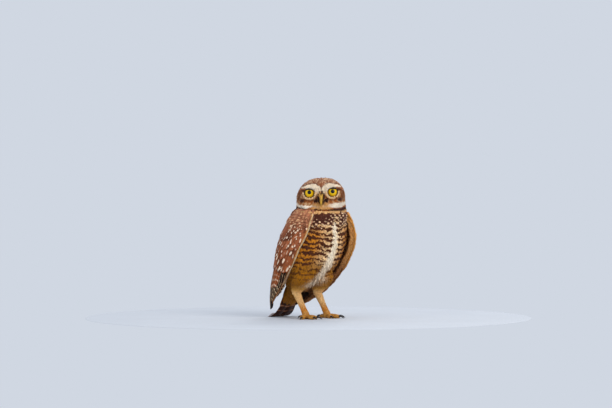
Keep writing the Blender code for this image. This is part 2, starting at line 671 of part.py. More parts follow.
def read_face(face, stations, across):
    """Point, rearward direction and normal of the wing's face at each pair of places."""
    rows = np.interp(stations, face["stations"], np.arange(len(face["stations"])))
    columns = np.interp(across, face["across"], np.arange(len(face["across"])))
    i = np.minimum(rows.astype(int), len(face["stations"]) - 2)
    j = np.minimum(columns.astype(int), len(face["across"]) - 2)
    u, v = (rows - i)[:, None], (columns - j)[:, None]
    found = []
    for layer in face["layers"]:
        upper = layer[i, j] * (1 - v) + layer[i, j + 1] * v
        lower = layer[i + 1, j] * (1 - v) + layer[i + 1, j + 1] * v
        found.append(upper * (1 - u) + lower * u)
    return found


def wing_vanes(face, material):
    """Every tier's feathers, the rear ones over the front ones."""
    vanes = []
    for count, root, tip_front, tip_rear, span, half_width, height, sink in TIERS.values():
        for k in range(count):
            share = k / (count - 1)
            across = span[0] + (span[1] - span[0]) * share
            tip = tip_front + (tip_rear - tip_front) * share
            stations = np.linspace(root, tip, VANE_ROWS)
            points, rearward, normals = read_face(face, stations, np.full(VANE_ROWS, across))
            tip_height = height - sink * (count - 1 - k)
            rise = (tip_height + ROOT_DEPTH) * np.linspace(0, 1, VANE_ROWS) ** VANE_RISE - ROOT_DEPTH
            middles = points + rise[:, None] * normals
            widths = half_width * vane_shape()
            vanes.append(vane_solid(middles, rearward, normals, widths, material, VANE_TILT))
    return vanes


def tail_rings(grow=0.0, reach=1.0):
    """Cross-sections of the closed tail, oval at its root and thin and wide at its tip."""
    count = 9
    knots = np.arange(len(TAIL_PATH))
    places = np.linspace(0, knots[-1] * reach, count)
    path = spline(knots, TAIL_PATH, places)
    widths = spline(knots, np.array(TAIL_HALF_WIDTHS), places) + grow
    depths = spline(knots, np.array(TAIL_DEPTHS), places)
    if reach < 1:
        widths = widths * np.sqrt(np.linspace(1, TAIL_CORE_WIDTH, count))
        depths = depths * np.linspace(1, TAIL_CORE_DEPTH, count)
    heading = np.gradient(path, axis=0)
    heading /= np.linalg.norm(heading, axis=1, keepdims=True)
    out = np.stack([-heading[:, 1], heading[:, 0]], axis=1)
    turns = np.linspace(0, 2 * math.pi, 14, endpoint=False)
    x = widths[:, None] * signed_power(np.cos(turns), TAIL_SQUARE)[None, :]
    level = signed_power(np.sin(turns), TAIL_SQUARE)[None, :]
    lift = (depths[:, None] / 2 + grow) * level - depths[:, None] / 2
    return np.stack(
        [x, path[:, :1] + lift * out[:, :1], path[:, 1:] + lift * out[:, 1:]], axis=-1
    )


def tail_line(first, last, depth, left):
    """A feather's shaft on the tail, at a depth under its upper face and a distance to its left."""
    knots = np.arange(len(TAIL_PATH))
    places = np.linspace(first, last, VANE_ROWS) * knots[-1]
    path = spline(knots, TAIL_PATH, places)
    heading = np.gradient(path, axis=0)
    heading /= np.linalg.norm(heading, axis=1, keepdims=True)
    normals = np.stack([np.zeros(VANE_ROWS), -heading[:, 1], heading[:, 0]], axis=1)
    centres = np.stack([left, path[:, 0], path[:, 1]], axis=1) - depth[:, None] * normals
    across = np.tile((1.0, 0.0, 0.0), (VANE_ROWS, 1))
    return centres, across, normals


def tail_vanes(material):
    """The middle feather on top, pairs that fan out under it, and the upper coverts."""
    spread = np.linspace(TAIL_SPREAD, 1.0, VANE_ROWS)
    shape = vane_shape()
    middle = np.full(VANE_ROWS, VANE_THICKNESS / 2)
    line = tail_line(TAIL_ROOTS, 1.0, middle, 0 * spread)
    vanes = [vane_solid(*line, TAIL_MIDDLE_WIDTH * shape, material)]
    for layer in range(1, TAIL_LAYERS + 1):
        depth = middle + layer * TAIL_LAYER_STEP
        inner, outer = TAIL_INNER_EDGE, TAIL_OUTER_EDGE + TAIL_FAN * layer
        for side in (-1, 1):
            left = side * (inner + outer) / 2 * spread
            widths = (outer - inner) / 2 * shape * spread
            line = tail_line(TAIL_ROOTS, 1.0 - TAIL_SHORTER * layer, depth, left)
            vanes.append(vane_solid(*line, widths, material))
    for share in np.linspace(-1, 1, TAIL_COVERTS):
        raised = COVERT_RAISED + COVERT_CROWN * (1 - abs(share))
        depth = np.linspace(COVERT_SUNK, -raised, VANE_ROWS)
        left = np.full(VANE_ROWS, COVERT_OUT * share)
        line = tail_line(COVERT_ROOTS, COVERT_TIPS - COVERT_STEP * abs(share), depth, left)
        vanes.append(vane_solid(*line, COVERT_WIDTH * shape, material, tilt=-COVERT_TILT * share))
    return vanes


def make_tail(feathers, torso_cutter):
    """The tail's root with its feathers, their tips laid level on the floor."""
    tail = ring_solid("tail", tail_rings(reach=TAIL_CORE_ENDS), feathers)
    fuse(tail, tail_vanes(feathers))
    cut(tail, [torso_cutter])
    return tail


def tail_clearance(material):
    """The whole tail as one smooth form, a gap larger, for what has to pass clear of it."""
    rings = tail_rings(GAP + TAIL_CLEARANCE)
    widest = TAIL_OUTER_EDGE + TAIL_FAN * TAIL_LAYERS
    rings[:, :, 0] *= 1 + TAIL_FAN * TAIL_LAYERS / widest * np.linspace(0, 1, len(rings))[:, None]
    return helper(ring_solid("tail_clearance", rings, material))


def body_tree():
    """The torso's surface, for pieces that are set on it."""
    stations = np.linspace(HEAD_ENDS, len(BODY) - 1.02, 40)
    rings = body_rings(stations, turns_of(64))
    count, sides = rings.shape[:2]
    faces = []
    for i in range(count - 1):
        for j in range(sides):
            k = (j + 1) % sides
            faces.append((i * sides + j, (i + 1) * sides + j, (i + 1) * sides + k, i * sides + k))
    return BVHTree.FromPolygons(rings.reshape(-1, 3).tolist(), faces)


def wing_core(name, side, material, tree):
    """The wing's flesh and feather bases as a closed shell over the flank."""
    stations = np.linspace(0, CORE_ENDS, 14)
    across = np.linspace(0, 1, 12)
    taper = np.clip((CORE_ENDS - stations) / CORE_TAPER, CORE_END_DEPTH, 1)[:, None]
    depth = wing_depth(stations, across, side)
    inset = CORE_INSET * wing_least(stations, across)
    outer = wing_rings(stations, across, np.minimum(inset, depth * CORE_LEAST), side, tree)
    depth = (inset + (depth - inset) * taper)[:, ::-1]
    inner = wing_rings(stations, across[::-1], depth, side, tree)
    return ring_solid(name, np.concatenate([outer, inner], axis=1), material)


def wing_depth(stations, across, side):
    """Thickness of the folded wing, thin at its front edge and tips and filled in to the back."""
    tapered = TIP_DEPTH + DEPTH_STEP * (len(WING) - 1 - np.asarray(stations))[:, None]
    filled = WING_DEPTH
    if side > 0:
        filled = filled + spline(np.arange(len(WING)), HELD_OUT, stations)[:, None]
    share = np.clip((np.asarray(across)[None, :] - FILLED_FROM) / FILLED_OVER, 0, 1)
    front = WING_DEPTH * FRONT_DEPTH
    return np.minimum(front + (filled - front) * share, tapered)


def make_wings(feathers, cutters):
    """Two folded wings, each a core fused with its feathers and cut clear of torso and tail."""
    tree = body_tree()
    for name, side in (("wing_right", -1), ("wing_left", 1)):
        wing = wing_core(name, side, feathers, tree)
        fuse(wing, wing_vanes(wing_face(side, tree), feathers))
        cut(wing, cutters)


def main():
    clear_scene()
    feathers = finish_of("feather_brown", FEATHER_BROWN, 0.85)
    breast = finish_of("breast_buff", BREAST_BUFF, 0.85)
    leg_feathers = finish_of("leg_buff", LEG_BUFF, 0.85)
    skin = finish_of("skin_yellow", SKIN_YELLOW, 0.6)
    iris = finish_of("iris_yellow", IRIS_YELLOW, 0.1)
    horn = finish_of("bill_horn", BILL_HORN, 0.35)
    claw_horn = finish_of("claw_dark", CLAW_DARK, 0.3)

    head = make_body(feathers, breast)
    make_eyes(head, iris)
    make_bill(horn)
    torso_cutter = swollen_body("torso_clearance", NECK_ENDS - 1.5, len(BODY) - 1.02, 44, 30)
    tail = make_tail(feathers, torso_cutter)
    for side, leg in STANCE.items():
        make_leg(side, leg, leg_feathers, skin, claw_horn, torso_cutter)
    tail_cutter = tail_clearance(feathers)
    make_wings(feathers, [torso_cutter, tail_cutter])
    remove(torso_cutter, tail_cutter)


main()
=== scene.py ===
"""Burrowing owl, life size: the looks of every surface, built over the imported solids.

Lengths are in millimetres from the middle of the two feet, unless a name says otherwise. The bird
faces -Y and +X is its own left. place() puts such points into the model's frame, in metres. The
plumage is built in three layers: smooth forms of body, wings, legs and tail that are read as
surfaces, one closed skin a little inside them, and feathers laid on them tract by tract.
"""

import logging
import math
from dataclasses import dataclass, field, fields, replace
from enum import Enum
from typing import Callable

import bpy
import numpy as np
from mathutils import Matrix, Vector


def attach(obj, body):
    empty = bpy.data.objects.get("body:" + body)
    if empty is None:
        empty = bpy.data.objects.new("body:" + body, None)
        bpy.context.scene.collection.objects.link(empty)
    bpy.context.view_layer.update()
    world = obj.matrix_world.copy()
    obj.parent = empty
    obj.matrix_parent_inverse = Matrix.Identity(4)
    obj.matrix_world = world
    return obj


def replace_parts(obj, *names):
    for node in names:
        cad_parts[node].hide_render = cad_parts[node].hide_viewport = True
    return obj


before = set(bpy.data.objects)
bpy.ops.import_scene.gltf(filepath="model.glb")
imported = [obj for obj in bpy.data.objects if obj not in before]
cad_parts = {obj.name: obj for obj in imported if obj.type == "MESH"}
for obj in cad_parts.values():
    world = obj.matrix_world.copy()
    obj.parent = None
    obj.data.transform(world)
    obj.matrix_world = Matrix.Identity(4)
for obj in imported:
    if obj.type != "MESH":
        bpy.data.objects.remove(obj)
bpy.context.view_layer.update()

Array = np.ndarray
Mesh = bpy.types.Mesh
Material = bpy.types.Material
Socket = bpy.types.NodeSocket
Triple = tuple[float, float, float]
Loft = tuple[Array, Array, Array]

MM = 0.001
FOOTPRINT_CENTRE = np.array([6.3, 21.7, 0.0])
BODY_NAME = "root"
SEED = 7

# Body from crown to tail root, one row a station: distance back, height, turn of the station to
# the bird's left, lean of its plane, half width, depth in front, depth behind, squareness.
HEAD_TURN = -45.0
BODY = np.array(
    [
        (-10, 201.0, HEAD_TURN, 0, 0.0, 0.0, 0.0, 1.0),
        (-10, 199.6, HEAD_TURN, 0, 12.0, 11.0, 12.0, 1.0),
        (-10, 195.8, HEAD_TURN, 0, 21.5, 18.5, 21.0, 0.95),
        (-10, 189.5, HEAD_TURN, 0, 28.5, 23.5, 27.5, 0.88),
        (-10, 181.5, HEAD_TURN, 0, 32.8, 26.5, 32.0, 0.82),
        (-10, 172.0, HEAD_TURN, 0, 34.4, 27.0, 33.5, 0.82),
        (-10, 163.0, HEAD_TURN, 0, 35.2, 28.0, 33.5, 0.88),
        (-10, 155.0, -38, 2, 36.5, 31.0, 33.0, 0.96),
        (-8, 146.5, -22, 7, 38.5, 33.0, 33.5, 1.0),
        (-4, 135.0, -6, 13, 43.0, 35.0, 32.5, 0.95),
        (0, 120.0, 0, 18, 45.5, 37.0, 35.0, 0.9),
        (5.5, 104.0, 0, 23, 46.5, 36.0, 38.0, 0.9),
        (13, 88.0, 0, 29, 45.0, 33.5, 38.0, 0.92),
        (22, 73.0, 0, 34, 40.5, 29.0, 34.0, 0.95),
        (31, 60.0, 0, 38, 33.0, 22.5, 27.0, 1.0),
        (39, 50.0, 0, 42, 23.5, 15.5, 18.5, 1.0),
        (45, 43.5, 0, 45, 12.0, 8.5, 9.5, 1.0),
        (48, 40.5, 0, 46, 0.0, 0.0, 0.0, 1.0),
    ]
)
HEAD_ENDS = 6.6
HEAD_ROLL = 0.042
HEAD_AXIS = np.array([0.0, -10.0, 0.0])

# Swellings and hollows of the face: how far each stands out, then its places and spreads.
BRIDGE_RISE, BRIDGE_WIDTH, BRIDGE_HEIGHT, BRIDGE_SPREAD = 2.2, 5.5, 181.0, 12.0
HOLLOW_DEPTH, HOLLOW_WIDTH = 2.6, 10.5
BROW_RISE, BROW_ABOVE, BROW_SLOPE, BROW_LEVEL_AT, BROW_OUT = 2.6, 7.0, 0.16, 12.0, 14.0
BROW_THICK, BROW_WIDTH = 3.8, 12.0
DISC_RISE, DISC_RADIUS, DISC_THICK, DISC_OUT, DISC_HEIGHT, DISC_SQUASH = 0.9, 20.5, 3.0, 9.0, 177.0, 1.05
FACE_REACH, FACE_FADE = 1.25, 80.0

# Folded wings, one row a station from the shoulder to the tips: distance back, height, lean,
# half width, depth in front, depth behind, angle of the front edge and of the rear edge.
WING = np.array(
    [
        (-6, 155.0, 4, 38.0, 32.5, 31.0, 54, 122),
        (-2, 141.0, 10, 42.5, 36.0, 31.0, 54, 140),
        (2, 125.0, 16, 48.5, 40.0, 33.5, 56, 158),
        (8, 107.0, 22, 52.0, 40.0, 38.0, 60, 166),
        (16, 89.0, 28, 51.5, 36.0, 40.0, 61, 169),
        (26, 71.0, 34, 48.5, 31.0, 37.0, 63, 169),
        (37, 53.0, 40, 44.0, 25.0, 32.5, 65, 168),
        (50, 37.0, 46, 38.0, 18.0, 25.0, 68, 164),
        (62, 23.5, 54, 30.0, 12.5, 16.0, 73, 158),
        (70, 14.0, 64, 21.5, 8.5, 8.5, 82, 150),
        (77, 8.5, 76, 15.0, 5.0, 4.0, 92, 140),
    ]
)
WING_DEPTH = 11.0
WING_PROUD = 4.2
WING_EDGE = 0.9
EDGE_FROM_TOP, EDGE_FROM_REAR = 1.3, 0.16
HELD_OUT = np.array((5.0, 12.0, 14.0, 12.5, 12.0, 11.0, 9.0, 7.0, 4.0, 2.0, 1.0))
HELD_ROUND = 10.0

TAIL_PATH = np.array([(40, 60), (49, 46), (55, 32), (61, 19.5), (68.5, 9.5), (78, 4.8), (87, 4.8)])

STANCE = {
    "right": {"thigh": (-20, 2, 78), "heel": (-21.0, 19, 38), "foot": (-20, 1, 7), "toes_out": 4},
    "left": {"thigh": (20, 2, 78), "heel": (20.0, 17, 37), "foot": (21.5, 0, 7), "toes_out": -6},
}
THIGH_SHARES = np.array([(0, 0, 0), (0.5, 0.25, 0.42), (0.76, 0.76, 0.76), (1, 1, 1)])
THIGH_RADII = (6.5, 15.2, 11.6, 6.6)
SHANK_RADII = (5.6, 5.2, 4.5, 4.3, 4.8)
# Toes: length, turn outward and radius of each
TOES = {"inner": (18, -20, 3.0), "middle": (23, 12, 3.2), "outer": (18, 58, 2.9), "hind": (12, 188, 2.9)}
EYE = (16.4, 14.9, 180.0)
EYE_RADIUS = 8.2
EYE_OPENING_ABOVE = 1.4
HEAD_RADIUS = 31.0
SHOWN_AT = 0.72
NO_MARK = -1.0
NECK_TOP = 151.5

log = logging.getLogger("owl")


class Side(Enum):
    """The two sides of the bird, as the sign of x on each."""

    RIGHT = -1
    LEFT = 1

    @property
    def word(self) -> str:
        """The side's name as pieces and nodes carry it."""
        return self.name.lower()


def linear(red: float, green: float, blue: float) -> Array:
    """A colour as the eye sees it, 0 to 255, as light: each channel c as ((c + 0.055) / 1.055) ** 2.4."""
    shown = np.array([red, green, blue], float) / 255
    return np.where(shown <= 0.04045, shown / 12.92, ((shown + 0.055) / 1.055) ** 2.4)


def place(points: Array) -> Array:
    """Millimetres from the feet, as metres in the model's frame."""
    return (np.asarray(points, float) - FOOTPRINT_CENTRE) * MM


def spline(values: Array, places: Array) -> Array:
    """Natural cubic through values that stand at 0, 1, 2 and so on.

    The bend at each inner value solves b[i-1] + 4 b[i] + b[i+1] = 6 times the change of slope
    there, and between two values the curve is their straight mix plus a cubic in both bends.

    Args:
        values: One row of numbers, or one number, for each whole place.
        places: Where to read, of any shape.

    Returns:
        The values at the places, with the values' own columns last.
    """
    values = np.asarray(values, float)
    flat = values.reshape(len(values), -1)
    inner = np.arange(1, len(flat) - 1)
    system = np.eye(len(flat))
    system[inner, inner - 1] = 1
    system[inner, inner] = 4
    system[inner, inner + 1] = 1
    right = np.zeros_like(flat)
    right[1:-1] = 6 * np.diff(flat, 2, axis=0)
    bend = np.linalg.solve(system, right)
    places = np.asarray(places, float)
    i = np.clip(np.floor(places).astype(int), 0, len(flat) - 2)
    b = (places - i)[..., None]
    a = 1 - b
    curved = ((a**3 - a) * bend[i] + (b**3 - b) * bend[i + 1]) / 6
    read = a * flat[i] + b * flat[i + 1] + curved
    return read.reshape(places.shape + values.shape[1:])


def along(values: Array, count: int) -> Array:
    """The given number of places on a smooth curve through a few values."""
    return spline(values, np.linspace(0, len(values) - 1, count))


def full_turn(count: int) -> Array:
    """Even steps of one full turn, in radians."""
    return np.linspace(0, 2 * math.pi, count, endpoint=False)


def signed_power(value: Array, power: Array) -> Array:
    """The value's size to a power, with the value's own sign."""
    return np.sign(value) * np.abs(value) ** power


def bump(distance: Array, width: float | Array) -> Array:
    """A smooth swelling: e to the minus square of distance over width."""
    return np.exp(-((distance / width) ** 2))


def smooth(value: Array, low: float, high: float) -> Array:
    """0 below low, 1 above high and 3 t t - 2 t t t between them; high may be the smaller one."""
    t = np.clip((value - low) / (high - low), 0, 1)
    return t * t * (3 - 2 * t)


def unit(vectors: Array) -> Array:
    """Vectors divided by their own lengths."""
    return vectors / np.maximum(np.linalg.norm(vectors, axis=-1, keepdims=True), 1e-12)


def ripple(points: Array, pitch: float, offset: float = 0.0) -> Array:
    """A smooth wandering number from -1 to 1: the mean of four sines of slanted sums of x, y, z.

    Args:
        points: Places in millimetres, x, y, z last.
        pitch: Length of the longest ripple.
        offset: Shifts the pattern, so that two calls can differ.

    Returns:
        One number for each place.
    """
    slants = np.array([(1.0, 0.3, 0.6), (-0.7, 1.1, 0.4), (0.2, -0.9, 1.5), (1.6, 0.8, -1.1)])
    turns = points @ (slants.T * (2 * math.pi / pitch)) + offset * np.array([1.0, 2.3, 3.1, 4.7])
    return np.sin(turns).mean(axis=-1)


def to_head(points: Array) -> tuple[Array, Array, Array]:
    """Places of the bird in the head's own frame: to its left, forward of its axis, and up.

    Args:
        points: Places in millimetres.

    Returns:
        Left, forward and up, in millimetres.
    """
    moved = points - HEAD_AXIS
    yaw = math.radians(HEAD_TURN)
    left = moved[..., 0] * math.cos(yaw) + moved[..., 1] * math.sin(yaw)
    forward = moved[..., 0] * math.sin(yaw) - moved[..., 1] * math.cos(yaw)
    return left, forward, moved[..., 2] - HEAD_ROLL * left


def turn_from_head(left: Array, forward: Array, up: Array) -> Array:
    """A direction of the head's own frame in the bird's frame.

    Args:
        left: Part to the head's left.
        forward: Part ahead.
        up: Part upward.

    Returns:
        The direction, x, y, z last.
    """
    yaw = math.radians(HEAD_TURN)
    x = left * math.cos(yaw) + forward * math.sin(yaw)
    y = left * math.sin(yaw) - forward * math.cos(yaw)
    return np.stack(np.broadcast_arrays(x, y, up + HEAD_ROLL * left), axis=-1)


def from_head(left: Array, forward: Array, height: Array) -> Array:
    """A place of the head's own frame in the bird's frame."""
    return HEAD_AXIS + turn_from_head(left, forward, height)


def eye_reach(left: Array, height: Array) -> Array:
    """Distance from the middle of the nearer eye's opening, seen from in front."""
    return np.hypot(np.abs(left) - EYE[0], height - EYE[2] - EYE_OPENING_ABOVE)


class Surface:
    """A smooth form kept as a fine grid of places, and read between its points."""

    def __init__(self, first: Array, second: Array, points: Array, inside: Array) -> None:
        """Works out normals and slopes once.

        Args:
            first: Even steps of the first parameter, one for each row.
            second: Even steps of the second parameter, one for each column.
            points: Rows by columns by x, y, z.
            inside: A place, or one place a row, on the inner side of the surface.
        """
        self.first, self.second = first, second
        down = np.gradient(points, first, axis=0)
        across = np.gradient(points, second, axis=1)
        normals = unit(np.cross(across, down))
        outward = points - np.broadcast_to(inside, (len(first), 3))[:, None]
        normals *= np.sign((normals * outward).sum(axis=-1).mean())
        self.points, self.normals = points, normals
        self.layers = np.concatenate([points, normals, down, across], axis=-1)

    def read(self, first: Array, second: Array) -> tuple[Array, Array, Array, Array]:
        """Place, normal, slope down the rows and slope across them, mixed from four grid points.

        Args:
            first: First parameters.
            second: Second parameters.

        Returns:
            Place, normal and both slopes, x, y, z last.
        """
        rows = (np.asarray(first, float) - self.first[0]) / (self.first[1] - self.first[0])
        columns = (np.asarray(second, float) - self.second[0]) / (self.second[1] - self.second[0])
        rows, columns = np.broadcast_arrays(rows, columns)
        i = np.clip(rows.astype(int), 0, len(self.first) - 2)
        j = np.clip(columns.astype(int), 0, len(self.second) - 2)
        u, v = (rows - i)[..., None], (columns - j)[..., None]
        upper = self.layers[i, j] * (1 - v) + self.layers[i, j + 1] * v
        lower = self.layers[i + 1, j] * (1 - v) + self.layers[i + 1, j + 1] * v
        mixed = upper * (1 - u) + lower * u
        return mixed[..., :3], unit(mixed[..., 3:6]), mixed[..., 6:9], mixed[..., 9:12]

    def unwrapped(self, first: Array, second: Array) -> Array:
        """Both parameters as shares of the surface's spans, the second one first."""
        pairs = ((second, self.second), (first, self.first))
        return np.stack([(value - steps[0]) / (steps[-1] - steps[0]) for value, steps in pairs], axis=-1)


def build_mesh(name: str, points: Array, *faces: Array) -> Mesh:
    """A mesh from whole arrays of places and faces.

    Args:
        name: Name of the mesh.
        points: Places in millimetres.
        faces: Corner numbers, one array for each kind of face, the corners of a face last.

    Returns:
        The mesh, in metres, in the model's frame.
    """
    mesh = bpy.data.meshes.new(name)
    points = place(points.reshape(-1, 3)).astype(np.float32)
    corners = np.concatenate([some.ravel() for some in faces])
    totals = np.concatenate([np.full(some.size // some.shape[-1], some.shape[-1]) for some in faces])
    mesh.vertices.add(len(points))
    mesh.vertices.foreach_set("co", points.ravel())
    mesh.loops.add(len(corners))
    mesh.loops.foreach_set("vertex_index", corners.astype(np.int32))
    mesh.polygons.add(len(totals))
    starts = np.concatenate([[0], np.cumsum(totals)[:-1]])
    mesh.polygons.foreach_set("loop_start", starts.astype(np.int32))
    mesh.polygons.foreach_set("use_smooth", np.ones(len(totals), bool))
    mesh.update(calc_edges=True)
    return mesh


def linked(name: str, data: bpy.types.ID) -> bpy.types.Object:
    """A new object that shows the data, in the scene.

    Args:
        name: Name of the object.
        data: A mesh, light or camera.

    Returns:
        The object.
    """
    holder = bpy.data.objects.new(name, data)
    bpy.context.scene.collection.objects.link(holder)
    return holder


def add_piece(name: str, mesh: Mesh, material: Material) -> bpy.types.Object:
    """Puts a finished mesh into the scene as a piece that rides on the bird's one body.

    Args:
        name: Name of the piece.
        mesh: Its mesh, in place.
        material: Its finish.

    Returns:
        The piece.
    """
    mesh.materials.clear()
    mesh.materials.append(material)
    piece = linked(name, mesh)
    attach(piece, BODY_NAME)
    log.info("%s: %d triangles", name, len(mesh.loops) - 2 * len(mesh.polygons))
    return piece


def closed_loft(rings: Array, first: Array | None = None, last: Array | None = None) -> Loft:
    """A closed form through rings of equal count, each end drawn in to one point.

    Args:
        rings: Rows by corners by x, y, z.
        first: Point that closes the first ring, or its middle.
        last: Point that closes the last ring, or its middle.

    Returns:
        Places, faces of four corners and faces of three.
    """
    count, sides = rings.shape[:2]
    first = rings[0].mean(axis=0) if first is None else first
    last = rings[-1].mean(axis=0) if last is None else last
    points = np.concatenate([rings.reshape(-1, 3), [first, last]])
    j = np.arange(sides)
    k = (j + 1) % sides
    row = (np.arange(count - 1) * sides)[:, None]
    quads = np.stack([row + j, row + j + sides, row + k + sides, row + k], axis=-1)
    top, bottom, base = count * sides, count * sides + 1, (count - 1) * sides
    over = np.stack([np.full(sides, top), j, k], axis=-1)
    under = np.stack([np.full(sides, bottom), base + k, base + j], axis=-1)
    return points, quads.reshape(-1, 4), np.concatenate([over, under])


def outward(mesh: Mesh) -> Mesh:
    """Turns a closed mesh's faces outward where its signed volume says they point in.

    Args:
        mesh: The mesh.

    Returns:
        The same mesh.
    """
    mesh.calc_loop_triangles()
    corners = np.empty(len(mesh.loop_triangles) * 3, np.int32)
    mesh.loop_triangles.foreach_get("vertices", corners)
    points = np.empty(len(mesh.vertices) * 3, np.float32)
    mesh.vertices.foreach_get("co", points)
    triangles = points.reshape(-1, 3).astype(float)[corners.reshape(-1, 3)]
    volume = (np.cross(triangles[:, 0], triangles[:, 1]) * triangles[:, 2]).sum()
    if volume < 0:
        mesh.flip_normals()
    return mesh


def tube_rings(path: Array, radii: Array, sides: int, up: Triple) -> Array:
    """Rings square to a path: its point plus radius times (cos across + sin above).

    Args:
        path: Points of the middle line.
        radii: One radius a point.
        sides: Corners of each ring.
        up: Direction that the rings' upper sides face.

    Returns:
        Points by sides by x, y, z.
    """
    heading = unit(np.gradient(path, axis=0))
    across = unit(np.cross(heading, np.asarray(up, float)))
    above = np.cross(across, heading)
    turns = full_turn(sides)[:, None]
    circle = np.cos(turns) * across[:, None] + np.sin(turns) * above[:, None]
    return path[:, None] + radii[:, None, None] * circle


def welded(name: str, forms: list[Array], voxel: float, passes: int) -> Mesh:
    """One closed surface round overlapping lofts, by voxels, then smoothed.

    Args:
        name: Name of the mesh.
        forms: Rings of each loft.
        voxel: Edge of a voxel, in metres.
        passes: Rounds of smoothing.

    Returns:
        The mesh.
    """
    lofts = [closed_loft(rings) for rings in forms]
    starts = np.cumsum([0] + [len(loft[0]) for loft in lofts])
    faces = [loft[kind] + start for kind in (1, 2) for loft, start in zip(lofts, starts)]
    holder = linked(name, build_mesh(name, np.concatenate([loft[0] for loft in lofts]), *faces))
    remesh = holder.modifiers.new("remesh", "REMESH")
    remesh.mode = "VOXEL"
    remesh.voxel_size = voxel
    even = holder.modifiers.new("even", "SMOOTH")
    even.factor = 0.5
    even.iterations = passes
    bpy.context.view_layer.update()
    mesh = bpy.data.meshes.new_from_object(holder.evaluated_get(bpy.context.evaluated_depsgraph_get()))
    bpy.data.objects.remove(holder)
    mesh.polygons.foreach_set("use_smooth", np.ones(len(mesh.polygons), bool))
    mesh.update()
    return mesh


def store(mesh: Mesh, name: str, kind: str, key: str, values: Array) -> None:
    """Stores a number, vector or colour for each point."""
    layer = mesh.attributes.new(name, kind, "POINT")
    layer.data.foreach_set(key, values.astype(np.float32).ravel())


def paint(mesh: Mesh, ground: Array, mark: Array, drawn: Array, vane: Array) -> None:
    """Stores what the plumage finish reads at each point.

    Args:
        mesh: The mesh.
        ground: Colour of the ground.
        mark: Colour of the marks.
        drawn: The marks' field, above 0 inside a mark.
        vane: Distance beside the shaft and along it, and the feather's first chance.
    """
    for name, colours in (("Ground", ground), ("Mark", mark)):
        colours = np.append(np.clip(colours, 0, 1), np.ones((len(colours), 1)), axis=1)
        store(mesh, name, "FLOAT_COLOR", "color", colours)
    store(mesh, "Field", "FLOAT", "value", drawn)
    store(mesh, "Vane", "FLOAT_VECTOR", "vector", vane)


def face_relief(left: Array, height: Array) -> Array:
    """How far the face stands forward of its plain oval: a bridge, and for each eye a hollow, a
    brow over it and a part of the rim of the facial disc, each a smooth swelling.

    Args:
        left: Distance to the head's left.
        height: Height over the floor.

    Returns:
        Millimetres forward.
    """
    relief = BRIDGE_RISE * bump(left, BRIDGE_WIDTH) * bump(height - BRIDGE_HEIGHT, BRIDGE_SPREAD)
    for side in (-1, 1):
        reach = np.hypot(left - side * EYE[0], height - EYE[2])
        brow_line = EYE[2] + BROW_ABOVE + BROW_SLOPE * side * (left - side * BROW_LEVEL_AT)
        brow = bump(height - brow_line, BROW_THICK) * bump(left - side * BROW_OUT, BROW_WIDTH)
        rim = np.hypot(left - side * DISC_OUT, (height - DISC_HEIGHT) * DISC_SQUASH)
        relief = relief - HOLLOW_DEPTH * bump(reach, HOLLOW_WIDTH) + BROW_RISE * brow
        relief = relief + DISC_RISE * bump(rim - DISC_RADIUS, DISC_THICK)
    return relief


@dataclass
class BodyForm:
    """The surface of the plumage from crown to tail root, one oval a station."""

    rows: int = 341
    columns: int = 289
    first_station: float = 0.02
    last_station: float = 16.98

    def points(self, stations: Array, turns: Array) -> Array:
        """Places on the surface.

        Each station is a squared oval, half width by depth in front or behind, with the face's
        relief added forward, turned by its yaw and leaned back.

        Args:
            stations: Station numbers.
            turns: Angle round the body, 0 in front and growing to the bird's left.

        Returns:
            Places, x, y, z last.
        """
        stations, turns = np.broadcast_arrays(stations, turns)
        row = spline(BODY, stations)
        back, height, yaw, lean, half_width, front, behind, square = np.moveaxis(row, -1, 0)
        left = half_width * signed_power(np.sin(turns), square)
        cosine = np.cos(turns)
        forward = np.where(cosine > 0, front, behind) * signed_power(cosine, square)
        in_face = np.clip(FACE_REACH - np.abs(turns) / math.radians(FACE_FADE), 0, 1)
        in_head = np.clip((HEAD_ENDS + 0.6 - stations) / 1.5, 0, 1)
        on_top = np.clip(stations, 0, 1)
        forward = forward + face_relief(left, height) * in_face * in_head * on_top
        yaw, lean = np.radians(yaw), np.radians(lean)
        x = left * np.cos(yaw) + forward * np.sin(yaw)
        y = left * np.sin(yaw) - forward * np.cos(yaw)
        height = height + HEAD_ROLL * in_head * left
        return np.stack([x, back + y * np.cos(lean), height + y * np.sin(lean)], axis=-1)

    def surface(self) -> Surface:
        """The whole body as a surface of station by turn, a little past a full turn each way.

        Returns:
            The surface.
        """
        stations = np.linspace(self.first_station, self.last_station, self.rows)
        turns = np.linspace(-1.1 * math.pi, 1.1 * math.pi, self.columns)
        points = self.points(stations[:, None], turns[None, :])
        middle = self.points(stations[:, None], np.linspace(-math.pi, math.pi, 24, endpoint=False)[None])
        return Surface(stations, turns, points, middle.mean(axis=1))


